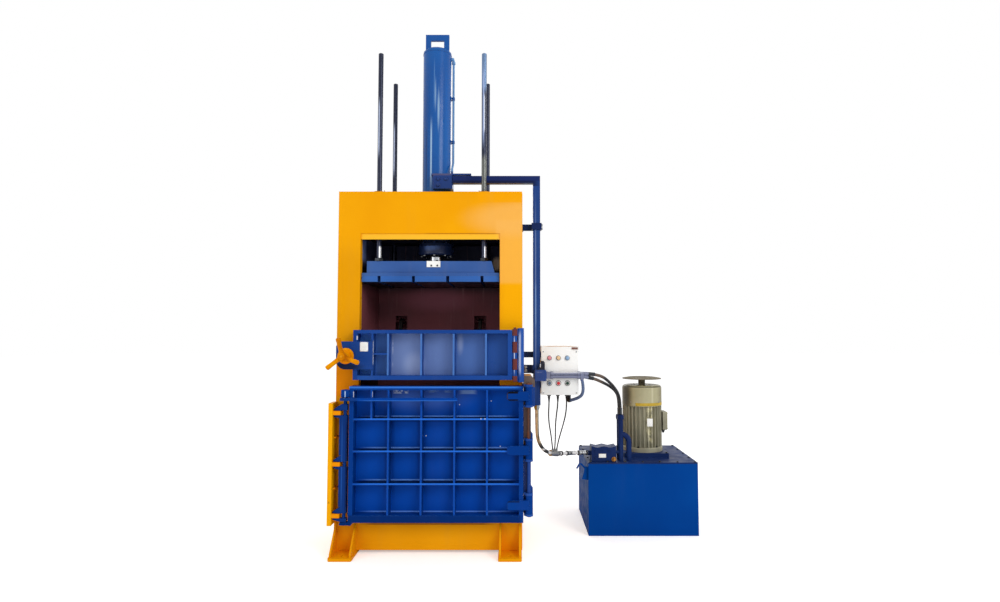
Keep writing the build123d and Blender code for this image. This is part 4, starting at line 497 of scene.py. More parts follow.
    def rims(self, radius: float) -> tuple[Socket, Socket]:
        """How near an edge is, from 0 to 1, and the normal rounded to this radius."""
        soft = self.node("ShaderNodeBevel", samples=4)
        self.feed(soft.inputs["Radius"], radius)
        flat = self.node("ShaderNodeNewGeometry")
        dot = self.node("ShaderNodeVectorMath", operation="DOT_PRODUCT")
        self.feed(dot.inputs[0], soft.outputs["Normal"])
        self.feed(dot.inputs[1], flat.outputs["Normal"])
        return self.span(dot.outputs["Value"], 0.995, 0.8), soft.outputs["Normal"]

    def relief(self, height: Socket, depth: float, strength: float,
               normal: Socket | None = None) -> Socket:
        """Bump from a height pattern.

        Args:
            height: The pattern.
            depth: Its depth in metres.
            strength: How much of it is felt.
            normal: The normal it starts from.

        Returns:
            The bumped normal.
        """
        made = self.node("ShaderNodeBump")
        self.feed(made.inputs["Height"], height)
        self.feed(made.inputs["Distance"], depth)
        self.feed(made.inputs["Strength"], strength)
        if normal is not None:
            self.feed(made.inputs["Normal"], normal)
        return made.outputs["Normal"]

    def close(self, colour: object, rough: object, normal: Socket,
              **constants: float) -> Material:
        """Feeds the shader and returns the material.

        Args:
            colour: Base colour.
            rough: Roughness.
            normal: Surface normal.
            **constants: Other shader sockets, with underscores for spaces.

        Returns:
            The finished material.
        """
        self.feed(self.shader.inputs["Base Color"], colour)
        self.feed(self.shader.inputs["Roughness"], rough)
        self.feed(self.shader.inputs["Normal"], normal)
        for key, value in constants.items():
            self.shader.inputs[key.replace("_", " ")].default_value = value
        return self.material


class Form(Enum):
    """Shapes of a patch on a finish."""

    ROUND = "round"
    BOX = "box"


@dataclass(frozen=True)
class Patch:
    """A place on a finish with its own colour or painted light or shade, torn by noise of the
    ragged scale if any.
    """

    centre: Spot
    reach: Spot
    colour: str
    share: float = 0.6
    core: float = 0.0
    ragged: float = 0.0
    form: Form = Form.ROUND


def slabs(depth: tuple[float, float], *rows: tuple) -> tuple[Patch, ...]:
    """Boxed patches that all lie between two Y values.

    Args:
        depth: The two Y values, the lower one first.
        rows: Of each patch X and Z of its lowest corner, X and Z of its highest, its colour
            and share, then its core and ragged scale where they aren't 0.8 and 0.

    Returns:
        The patches.
    """
    near, far = depth
    patches = []
    for x0, z0, x1, z1, colour, share, *rest in rows:
        core, ragged = (*rest, *(0.8, 0.0)[len(rest):])
        patches.append(Patch(((x0 + x1) / 2, (near + far) / 2, (z0 + z1) / 2),
                             ((x1 - x0) / 2, (far - near) / 2, (z1 - z0) / 2),
                             colour, share, core, ragged, Form.BOX))
    return tuple(patches)


@dataclass(frozen=True)
class Paint:
    """Sprayed paint on steel: cloudy colour, orange peel, rubbed edges, dust and run marks."""

    name: str
    colour: str
    deep: str
    pale: str
    rough: float = 0.34
    shine: float = 0.12
    bare: str = "#8794ae"
    dusty: float = 0.04
    worn: float = 0.5
    cloud: float = 1.7
    dust: str = "#8d8678"
    tarnish: float = 0.0
    back: float | None = None
    patches: tuple[Patch, ...] = ()

    def make(self) -> Material:
        """Builds the paint."""
        shade = Shade(self.name)
        clouds = shade.noise(self.cloud, 2.5, 0.5)
        colour = shade.ramp(clouds, [(0.32, self.deep), (0.5, self.colour), (0.7, self.pale)])
        colour = shade.patched(colour, self.patches, self.back)
        runs = shade.span(shade.noise(9.0, 4.0, 0.6, (1.0, 1.0, 0.12)), 0.5, 0.8)
        colour = shade.mix(shade.work("MULTIPLY", runs, self.dusty), colour, tone(self.dust))
        edge, rounded = shade.rims(0.0025)
        chips = shade.span(shade.noise(75.0, 4.0, 0.7), 0.48, 0.6)
        rubbed = shade.work("MULTIPLY", shade.work("MULTIPLY", edge, chips), self.worn)
        colour = shade.mix(rubbed, colour, tone(self.bare))
        if self.tarnish > 0.0:
            specks = shade.span(shade.noise(190.0, 2.0, 0.5), 0.7, 0.76, 0.0, self.tarnish)
            colour = shade.mix(specks, colour, tone(self.bare))
        rough = shade.span(shade.noise(14.0, 4.0, 0.6), 0.3, 0.72, self.rough * 0.8,
                           min(1.0, self.rough * 1.35))
        normal = shade.relief(shade.noise(240.0, 2.0, 0.5), 0.00025, 0.35, rounded)
        normal = shade.relief(shade.noise(5.0, 1.5, 0.4), 0.004, 0.12, normal)
        return shade.close(colour, rough, normal, Specular_IOR_Level=self.shine)


@dataclass(frozen=True)
class Steel:
    """Bare metal: brushed or cast grain, oil film and rust."""

    name: str
    colour: str
    dark: str
    rough: float
    rusty: float
    grain: Spot
    rust: str = "#5a3320"
    metal: float = 1.0
    grit: float = 60.0
    patches: tuple[Patch, ...] = ()

    def make(self) -> Material:
        """Builds the metal."""
        shade = Shade(self.name)
        lines = shade.noise(self.grit, 5.0, 0.65, self.grain)
        colour = shade.ramp(lines, [(0.3, self.dark), (0.68, self.colour)])
        blotch = shade.noise(22.0, 5.0, 0.68, bend=0.4)
        share = shade.span(blotch, 0.62 - 0.35 * self.rusty, 0.78 - 0.3 * self.rusty, 0.0,
                           min(1.0, 0.15 + self.rusty))
        colour = shade.mix(share, colour, tone(self.rust))
        colour = shade.patched(colour, self.patches)
        rough = shade.span(lines, 0.3, 0.7, self.rough, min(1.0, self.rough + 0.18))
        edge, rounded = shade.rims(0.0012)
        colour = shade.mix(shade.work("MULTIPLY", edge, 0.35), colour, tone(self.colour))
        normal = shade.relief(lines, 0.0002, 0.4, rounded)
        return shade.close(colour, rough, normal, Metallic=self.metal)


@dataclass(frozen=True)
class Moulding:
    """Plastic, rubber or enamel: fine grain, faint stains and worn rims."""

    name: str
    colour: str
    stain: str
    rough: float = 0.5
    shine: float = 0.35
    grain: float = 420.0
    depth: float = 0.0002
    rim: float = 0.2
    patches: tuple[Patch, ...] = ()

    def make(self) -> Material:
        """Builds the moulding."""
        shade = Shade(self.name)
        clouds = shade.span(shade.noise(7.0, 5.0, 0.62), 0.4, 0.75, 0.0, 0.75)
        colour = shade.mix(clouds, tone(self.colour), tone(self.stain))
        colour = shade.patched(colour, self.patches)
        edge, rounded = shade.rims(0.0015)
        colour = shade.mix(shade.work("MULTIPLY", edge, self.rim), colour, tone(self.stain))
        rough = shade.span(shade.noise(31.0, 3.0), 0.3, 0.7, self.rough * 0.85,
                           min(1.0, self.rough * 1.2))
        normal = shade.relief(shade.noise(self.grain, 2.0), self.depth, 0.3, rounded)
        return shade.close(colour, rough, normal, Specular_IOR_Level=self.shine)


@dataclass(frozen=True)
class ChamberWall:
    """Old brown primer inside the chamber, rubbed and scored downwards by the bales."""

    name: str = "chamber_primer"
    colour: str = "#84484f"
    deep: str = "#6a3840"
    rubbed: str = "#946a6e"
    upper: str = "#333650"
    shadow: str = "#241d24"
    border: float = 1.90
    back: float = 0.291
    patches: tuple[Patch, ...] = ()

    def make(self) -> Material:
        """Builds the worn primer."""
        shade = Shade(self.name)
        clouds = shade.noise(2.3, 4.0, 0.6)
        colour = shade.ramp(clouds, [(0.3, self.deep), (0.62, self.colour)])
        height = shade.axis("Z")
        colour = shade.mix(shade.span(height, self.border - 0.20, self.border - 0.10), colour,
                           tone(self.shadow))
        colour = shade.mix(shade.span(height, self.border - 0.04, self.border + 0.04), colour,
                           tone(self.upper))
        scores = shade.span(shade.noise(52.0, 5.0, 0.7, (1.0, 1.0, 0.05)), 0.55, 0.72, 0.0, 0.5)
        colour = shade.mix(scores, colour, tone(self.rubbed))
        colour = shade.patched(colour, self.patches, self.back)
        edge, rounded = shade.rims(0.0025)
        colour = shade.mix(shade.work("MULTIPLY", edge, 0.5), colour, tone(self.rubbed))
        rough = shade.span(clouds, 0.3, 0.7, 0.42, 0.72)
        normal = shade.relief(scores, 0.0006, 0.4, rounded)
        return shade.close(colour, rough, normal, Specular_IOR_Level=0.2)


@dataclass(frozen=True)
class Lenses:
    """Three lamp lenses of one moulding, each with its own colour."""

    name: str = "lamp_lenses"
    first_border: float = 0.832
    second_border: float = 0.893
    left: str = "#e88a94"
    middle: str = "#f0c58a"
    right: str = "#8fb2d6"

    def make(self) -> Material:
        """Builds the ribbed, slightly clear lens plastic."""
        shade = Shade(self.name)
        x = shade.axis("X")
        past_first = shade.work("GREATER_THAN", x, self.first_border)
        past_second = shade.work("GREATER_THAN", x, self.second_border)
        colour = shade.mix(past_first, tone(self.left), tone(self.middle))
        colour = shade.mix(past_second, colour, tone(self.right))
        cloud = shade.span(shade.noise(90.0, 3.0), 0.4, 0.7, 0.0, 0.18)
        colour = shade.mix(cloud, colour, tone("#ffffff"))
        edge, rounded = shade.rims(0.0015)
        normal = shade.relief(shade.noise(900.0, 1.0), 0.0002, 0.3, rounded)
        rough = shade.span(edge, 0.0, 1.0, 0.14, 0.24)
        return shade.close(colour, rough, normal, Specular_IOR_Level=0.5, Coat_Weight=0.4)


@dataclass(frozen=True)
class HoseCover:
    """Wrapped hose cover with a fine lay, black or with a tan sleeve above a height."""

    name: str
    colour: str = "#15161a"
    pale: str = "#3b3c42"
    sleeve: str | None = None
    sleeve_from: float = 0.7
    rough: float = 0.42
    lay: float = 240.0
    patches: tuple[Patch, ...] = ()

    def make(self) -> Material:
        """Builds the cover."""
        shade = Shade(self.name)
        scuff = shade.span(shade.noise(30.0, 4.0, 0.6), 0.45, 0.72, 0.0, 0.6)
        colour = shade.mix(scuff, tone(self.colour), tone(self.pale))
        if self.sleeve is not None:
            blend = shade.span(shade.axis("Z"), self.sleeve_from - 0.03, self.sleeve_from + 0.03)
            worn = shade.mix(scuff, tone(self.sleeve), tone("#4a3a2c"))
            colour = shade.mix(blend, colour, worn)
        colour = shade.patched(colour, self.patches)
        wave = shade.node("ShaderNodeTexWave", wave_type="BANDS", bands_direction="DIAGONAL")
        shade.feed(wave.inputs["Vector"], shade.place)
        shade.feed(wave.inputs["Scale"], self.lay)
        shade.feed(wave.inputs["Distortion"], 1.2)
        normal = shade.relief(wave.outputs["Fac"], 0.0003, 0.4)
        rough = shade.span(scuff, 0.0, 0.6, self.rough, self.rough + 0.2)
        return shade.close(colour, rough, normal, Specular_IOR_Level=0.45)


# Places with a colour of their own, and painted highlights, reflections and shadows

SKIN = -0.322
AT_SKIN = (SKIN - 0.01, SKIN + 0.01)
BEHIND_SKIN = SKIN + 0.006
RIB_FRONT = (-0.4075, -0.4035)
STRAP_FRONT = (-0.4205, -0.417)
ROWS = (0.465, 0.672, 0.876)

FASCIA = (
    # Painted shade on the left stile and, deeper orange, on its lower part; painted light on the
    # right
    *slabs((-0.33, -0.29), (-0.65, 0.9, -0.40, 2.12, "#e59a00", 0.75, 0.6),
           (-0.65, 1.0, -0.40, 1.32, "#ee8600", 0.85, 0.85),
           (0.47, 1.3, 0.65, 2.3, "#ffb400", 0.5, 0.6)),
    # Painted sheen: a pale peach glow on the fascia's right, painted back to plain yellow at the
    # top
    Patch((0.64, -0.31, 2.195), (0.50, 0.03, 0.16), "#f8b85c", 0.72, 0.45),
    *slabs((-0.33, -0.29), (0.43, 1.745, 0.70, 2.20, "#f8b85c", 0.5, 0.86),
           (0.30, 2.30, 0.70, 2.42, "#f6a402", 0.9, 0.85)),
    # Painted light on the lip band under the head, with a painted shadow line just above it
    *slabs((-0.306, -0.290), (-0.47, 2.05, 0.47, 2.0935, "#ffc638", 0.75, 0.95)),
    *slabs((-0.32, -0.29), (-0.05, 2.0935, 0.472, 2.0985, "#c9780c", 0.7)),
    # Painted light on the right column in the shaded gap between the doors
    *slabs((-0.32, -0.30), (0.46, 1.070, 0.66, 1.140, "#ff9a08", 1.0, 0.95)))
# Painted shade: the head beam below its top plate is painted near black, as shade inside the head
HEAD = slabs((-0.34, 0.34), (-0.64, 2.05, 0.64, 2.355, "#191a2b", 1.0, 0.97))
# Painted shadow: a dark brown line across the base just under the lower door
BASE = slabs((-0.33, -0.29), (-0.48, 0.180, 0.48, 0.198, "#8a4510", 0.7, 0.7))
COLUMN = (*slabs((-0.43, -0.31), (-0.601, 0.20, -0.52, 1.0, "#f59000", 0.85, 0.95)),
          Patch((-0.618, -0.415, 0.350), (0.011, 0.02, 0.013), "#5a3808", 0.7, 0.2, 90.0))
# Painted highlight on the hub, painted shade under it and painted light on the disc's lower edge
WHEEL = (Patch((-0.520, -0.50, 1.283), (0.020, 0.05, 0.020), "#ffd040", 0.7, 0.2),
         Patch((-0.500, -0.43, 1.262), (0.034, 0.016, 0.018), "#8a4406", 0.8, 0.2),
         Patch((-0.515, -0.43, 1.236), (0.040, 0.02, 0.010), "#ff8c00", 0.9, 0.4))
UPPER_DOOR = (
    # Painted reflection: a pale sheen over the bays, lightest in the middle; painted light in the
    # latch bay
    *slabs(AT_SKIN, (-0.262, 1.13, -0.034, 1.45, "#97aede", 0.55),
           (-0.048, 1.13, 0.178, 1.45, "#8ba6dc", 0.52),
           (0.162, 1.13, 0.388, 1.45, "#7398d8", 0.45, 0.75),
           (0.372, 1.13, 0.53, 1.45, "#3f70c0", 0.45, 0.7),
           (-0.46, 1.13, -0.25, 1.45, "#4f80cc", 0.75)),
    # Painted reflection across the second bay and a painted highlight in the fourth
    Patch((-0.100, SKIN, 1.22), (0.10, 0.05, 0.12), "#b6c5ea", 0.4, 0.2),
    Patch((0.205, SKIN, 1.36), (0.03, 0.05, 0.10), "#dbe6f8", 0.25, 0.1),
    # Painted light in the shade above and below the latch plate
    *slabs(AT_SKIN, *((-0.46, low, -0.349, high, "#4a8cf0", 0.95, 0.9)
                      for low, high in ((1.13, 1.20), (1.372, 1.44)))),
    # Painted highlight on the rib fronts; the left stile's front is painted a darker blue
    *slabs(RIB_FRONT, (-0.262, 1.158, 0.387, 1.425, "#5a8ad0", 0.6, 0.99),
           (-0.50, 1.10, -0.449, 1.48, "#0c3684", 0.7, 0.9)),
    # Painted highlights and glints: second bay's left edge, left rail top, latch rib and knuckles
    *slabs((-0.335, -0.318), (-0.243, 1.18, -0.236, 1.42, "#dfe8f8", 0.7, 0.4, 12.0)),
    *slabs((-0.41, -0.394), (-0.458, 1.385, -0.450, 1.413, "#e8ecf4", 0.9)),
    *slabs((-0.41, -0.385), (-0.3525, 1.220, -0.3495, 1.385, "#dfe6f2", 0.85)),
    *slabs((-0.43, -0.400), (0.559, 1.15, 0.566, 1.43, "#e6eefa", 0.75, 0.5)))
# Painted shade over the lower left of the latch plate
LATCH = (Patch((-0.53, -0.417, 1.212), (0.16, 0.03, 0.040), "#04102c", 0.9, 0.3),)
LOWER_DOOR = (
    *slabs((-0.3265, -0.315), (-0.6, 0.2, 0.62, 1.1, "#004ab2", 1.0, 0.97)),
    # Painted shade on the skin beside each vertical rib and under each horizontal rib
    *slabs((-0.3265, -0.317),
           *((x - 0.055, 0.255, x + 0.040, 1.07, "#001450", 0.55, 0.1)
             for x in (-0.248, -0.036, 0.177, 0.387, 0.592)),
           *((-0.475, z - 0.030, 0.595, z - 0.004, "#000c34", 0.6, 0.3) for z in ROWS)),
    # Painted reflection over the top row of cells
    Patch((-0.05, SKIN, 1.04), (0.44, 0.03, 0.16), "#4a6cb8", 0.6, 0.3),
    # Painted highlight on rib fronts, horizontal rib edges and top rail; bottom rail painted
    # darker
    *slabs(RIB_FRONT, (-0.475, 0.262, 0.595, 1.066, "#1452b8", 0.6, 0.99),
           *((-0.475, z - 0.003, 0.595, z + 0.0072, "#2a74e4", 0.85) for z in ROWS),
           (-0.60, 1.074, 0.62, 1.094, "#3a80e6", 0.8, 0.9),
           (-0.60, 0.20, 0.62, 0.271, "#002460", 0.75, 0.95)),
    # Painted shade on the horizontal ribs' top faces
    *slabs((-0.4030, -0.327),
           *((-0.475, z + 0.0045, 0.595, z + 0.0075, "#001034", 0.9, 0.9) for z in ROWS)),
    # Painted highlight along the skin just above each horizontal rib and the bottom rail
    *slabs((-0.3275, -0.312), *((-0.475, z + 0.003, 0.595, z + 0.0145, "#6ea0ec", 0.8, 0.7)
                                for z in (*ROWS, 0.262))),
    # Painted reflections and glints: streaks in the top cells, white ticks and glint dots
    *slabs(AT_SKIN, (-0.241, 1.030, -0.128, 1.066, "#c9d6ec", 0.85, 0.6, 60.0),
           (-0.030, 1.035, 0.165, 1.062, "#6f90c4", 0.7, 0.4, 14.0),
           (0.190, 1.025, 0.325, 1.063, "#86a6d8", 0.75, 0.4)),
    *slabs((-0.41, -0.394), (-0.475, 1.015, -0.469, 1.055, "#e8ecf4", 0.9),
           (-0.352, 1.015, -0.349, 1.055, "#e8ecf4", 0.9)),
    *(Patch((x, y, z), (0.0045, 0.02, 0.0045), "#f2f6ff", 0.9, 0.5) for x, y, z in (
        (-0.016, SKIN, 0.758), (0.203, SKIN, 0.960), (0.410, SKIN, 0.984),
        (0.470, SKIN, 0.690), (0.348, -0.4055, 0.880), (0.374, -0.4055, 0.880))),
    # Painted shade along the top and bottom edges and the left end of the upper hinge strap
    *slabs(STRAP_FRONT, (0.512, 1.041, 0.59, 1.0575, "#0c0a10", 1.0),
           (0.512, 0.9925, 0.59, 1.006, "#0c0a10", 1.0),
           (0.512, 0.9955, 0.521, 1.0545, "#3a2c2a", 0.95)),
    # Painted glint on the lock's top block
    *slabs((-0.46, -0.39), (-0.529, 1.010, -0.520, 1.062, "#b9d2f4", 0.9, 0.6)),
    # Painted shade along the top edge and the left end of the lower hinge strap
    *slabs(STRAP_FRONT, (0.512, 0.353, 0.60, 0.3675, "#0a1c44", 0.8),
           (0.512, 0.3055, 0.519, 0.3645, "#0a1c44", 0.6)))
LOCK = (
    # Painted shade on the right half of the lock shaft and a painted highlight down its left side
    *slabs((-0.50, -0.30), (-0.522, 0.20, -0.49, 0.95, "#04174a", 0.85, 0.6),
           (-0.545, 0.25, -0.538, 0.93, "#2a62b8", 0.7, 0.4)),
    *slabs((-0.46, -0.42), (-0.45, 0.98, 0.25, 1.03, "#00409c", 1.0, 0.95)),
    # Painted highlight along the handle bar and a painted glint on the top block
    *slabs((-0.46, -0.425), (-0.45, 0.994, 0.25, 1.001, "#3a80e6", 0.8, 0.7)),
    *slabs((-0.46, -0.39), (-0.527, 1.012, -0.521, 1.06, "#b9d2f4", 0.9, 0.7)))
HINGE_POST = (
    # Painted highlight down the post's rounded front edge
    *slabs((-0.396, -0.37), (0.588, 1.14, 0.607, 1.46, "#dfe8f8", 0.85, 0.4)),
    *slabs((-0.415, -0.374), (0.545, 1.10, 0.583, 1.47, "#6a2c18", 0.95, 0.9)),
    *slabs((-0.359, -0.340), (0.62, 0.66, 0.67, 0.985, "#7a5a48", 0.9, 0.9)),
    # Painted shade on the right part of the hinge strip between the upper knuckles
    *slabs((-0.3595, -0.340), (0.636, 0.66, 0.67, 0.985, "#1f1a20", 0.9, 0.5)),
    *slabs((-0.359, -0.340), (0.62, 0.24, 0.67, 0.66, "#0d3684", 0.9, 0.95)),
    # Painted shadow: a black slit down the hinge strip's lower section
    *slabs((-0.3595, -0.340), (0.634, 0.30, 0.648, 0.655, "#02040c", 0.95, 0.7)),
    *slabs((-0.362, -0.340), (0.62, 1.077, 0.70, 1.17, "#6d5b4c", 0.95, 0.92)),
    *slabs((-0.3605, -0.3575), (0.62, 1.150, 0.70, 1.168, "#c98a4a", 0.9, 0.6)))
# Painted highlight: the bypass pipe painted pale blue along its length
PORT = (*slabs((-0.09, 0.02), (0.10, 2.57, 0.14, 3.46, "#6f9fd0", 0.9, 0.97)),
        *slabs((-0.16, -0.10), (-0.02, 2.528, 0.13, 2.545, "#8a7468", 0.7, 0.6)))
BARREL = (
    # Painted shade on the barrel's foot inside the head
    *slabs((-0.25, 0.25), (-0.25, 1.98, 0.25, 2.352, "#141a30", 0.95, 0.97)),
    # Painted reflections and shade: dark stripes, pale streaks, shaded left half, S highlight,
    # lighter right
    *slabs((-0.12, 0.03), (-0.104, 2.36, -0.084, 3.02, "#06205e", 0.8, 0.4)),
    *slabs((-0.12, -0.01), (-0.070, 2.36, -0.058, 2.96, "#06205e", 0.6, 0.4)),
    *slabs((-0.12, -0.05), (-0.037, 2.42, -0.021, 2.99, "#a8cbea", 0.9, 0.4),
           (0.024, 2.42, 0.040, 2.92, "#7fa8d4", 0.15, 0.2),
           (-0.014, 2.98, -0.004, 3.42, "#7aa8d6", 0.45, 0.2)),
    *slabs((-0.12, 0.05), (-0.104, 2.36, 0.0, 3.45, "#143f80", 0.5, 0.1)),
    Patch((0.000, -0.10, 3.13), (0.009, 0.04, 0.16), "#b4d6ec", 0.4, 0.1),
    Patch((0.022, -0.10, 3.02), (0.012, 0.04, 0.20), "#b4d6ec", 0.55, 0.1),
    *slabs((-0.12, 0.02), (0.06, 2.36, 0.104, 3.45, "#1a64b8", 0.5, 0.3)))
# Painted shade: the shoes' undersides painted near black
SHOES = slabs((-0.4, 0.4), (-0.5, 1.765, 0.5, 1.7735, "#07080d", 0.95, 0.9))
DUCT = (
    # Painted shade down both edges of the duct and painted highlights down its middle
    *slabs((-0.16, -0.10), *((x, 0.93, x_end, 2.50, "#14285e", 0.8, 0.5)
                             for x, x_end in ((0.690, 0.698), (0.734, 0.742)))),
    *slabs((-0.157, -0.15), (0.704, 0.93, 0.714, 2.48, "#8fa8dc", 0.5, 0.3),
           (0.704, 1.45, 0.714, 1.80, "#7fa4dc", 0.7, 0.5)),
    # Painted shade on the horizontal run's underside, and a darker navy over the rest of that run
    *slabs((-0.20, 0.0), (0.0, 2.452, 0.76, 2.497, "#0a1238", 0.9),
           (0.0, 2.490, 0.76, 2.56, "#12225a", 0.9, 0.95)))
HOSE_BLOCK = (
    *slabs((-0.225, -0.165), (0.70, 1.181, 0.78, 1.245, "#0b0c14", 0.95, 0.97)),
    # Painted highlights on the plug and along the block under it
    *slabs((-0.22, -0.17), (0.734, 1.196, 0.742, 1.226, "#f4f6fa", 0.8, 0.5),
           (0.700, 1.160, 0.760, 1.170, "#eef1f8", 0.7, 0.4, 60.0)),
    *slabs((-0.225, -0.15), (0.779, 1.11, 1.07, 1.18, "#80839a", 0.9, 0.98)),
    # Painted highlight along the top of the arm pipes
    *slabs((-0.215, -0.190), (0.79, 1.157, 1.05, 1.166, "#f0f2f6", 0.6, 0.5)))
FAN_COVER = (
    # Painted shade on the fan cover's left side and right edge, with a painted highlight line
    # between
    Patch((1.400, 0.25, 0.97), (0.055, 0.2, 0.3), "#38362a", 0.9, 0.25),
    Patch((1.590, 0.20, 0.98), (0.012, 0.2, 0.3), "#d8d2b2", 0.5, 0.1),
    Patch((1.670, 0.30, 0.97), (0.050, 0.2, 0.3), "#7d7454", 0.7, 0.1),
    *slabs((0.19, 0.40), (1.38, 1.021, 1.70, 1.031, "#3c382c", 0.85, 0.7)))
MOTOR_SHELL = slabs((0.15, 0.30), (1.544, 0.60, 1.589, 0.895, "#efe8c4", 0.85, 0.8, 26.0))
CONTROL_BOX = (
    # Painted shade on the lower half of the box's front
    *slabs((-0.18, -0.05), (0.70, 0.95, 1.05, 1.135, "#eceeec", 0.5, 0.85)),
    *slabs((-0.176, -0.16), (0.746, 1.335, 1.0, 1.346, "#c08a50", 0.7, 0.5)),
    *slabs((-0.180, -0.1702), (0.950, 1.314, 1.0, 1.336, "#6e3420", 0.95, 0.95)))
CHAMBER = (
    *slabs((-0.262, -0.118), (-0.475, 1.90, -0.465, 2.10, "#7f8fc4", 0.7, 0.5)),
    # Painted light on the back wall beside the platen, and a painted pool of light in its middle
    Patch((0.425, 0.285, 1.955), (0.045, 0.02, 0.07), "#ffe0c8", 0.9, 0.4),
    Patch((-0.03, 0.285, 1.68), (0.36, 0.02, 0.12), "#b0687a", 0.6, 0.2),
    # Painted shade: a near black band inside the chamber at the height of the gap between the
    # doors
    *slabs((-0.4, 0.3), (-0.7, 1.0, 0.7, 1.16, "#0d0b0e", 0.95, 0.9)))
# Painted light: a pale blue glow across the gland, which is painted dark as shade under the head
GLAND = (Patch((-0.03, -0.12, 2.03), (0.09, 0.03, 0.035), "#5878b8", 0.7, 0.2),)
RODS = (
    # Painted reflections on the guide rods: a silver side in the chamber, pale streaks, a grey
    # band
    *slabs((-0.29, -0.238), (-0.352, 1.5, -0.330, 2.021, "#f2f3f6", 1.0, 0.93),
           (0.358, 1.5, 0.380, 2.021, "#dfe4ee", 1.0, 0.93)),
    *slabs((-0.28, -0.23), (0.33, 3.06, 0.38, 3.42, "#7fa0cc", 0.6, 0.6),
           (0.345, 2.78, 0.362, 3.08, "#f0f4fa", 0.85, 0.5),
           (0.33, 2.36, 0.38, 2.66, "#74766e", 0.8, 0.5)),
    *slabs((-0.28, -0.25), (-0.366, 2.60, -0.354, 3.06, "#b8c4e0", 0.85, 0.5)),
    *slabs((0.22, 0.26), (-0.366, 2.60, -0.354, 3.06, "#b8c4e0", 0.85, 0.5)),
    *slabs((-0.28, -0.25), (0.344, 2.66, 0.358, 3.30, "#9fb2dc", 0.85, 0.5)))
PINS = slabs((-0.42, -0.35), (0.64, 0.20, 0.675, 0.665, "#10408e", 1.0, 0.97),
             (0.655, 0.66, 0.675, 1.0, "#2a2430", 0.8, 0.4))
ARM_HOSES = slabs((-0.30, 0.0), (1.05, 1.0, 1.19, 1.2, "#7a6252", 0.6, 0.6))
SLEEVE = (
    # Painted shade down both edges of the return hose's sleeved part
    *slabs((-0.16, -0.10), (0.7205, 0.66, 0.733, 0.95, "#2e2018", 0.85, 0.6),
           (0.700, 0.66, 0.707, 0.95, "#3a2a20", 0.8, 0.5)),
    *slabs((-0.10, 0.14), (0.795, 0.54, 1.10, 0.62, "#e4e4e6", 0.95, 0.93)),
    # Painted highlight on the hose's bend
    Patch((0.748, -0.105, 0.628), (0.045, 0.03, 0.012), "#f4f4f6", 0.8, 0.3))


class Recipe(Protocol):
    """Anything that builds a material."""

    def make(self) -> Material:
        """Builds the material."""


@dataclass(frozen=True)
class Coat:
    """A built finish, and the record's slot of it where own pieces wear it."""

    material: Material
    slot: str


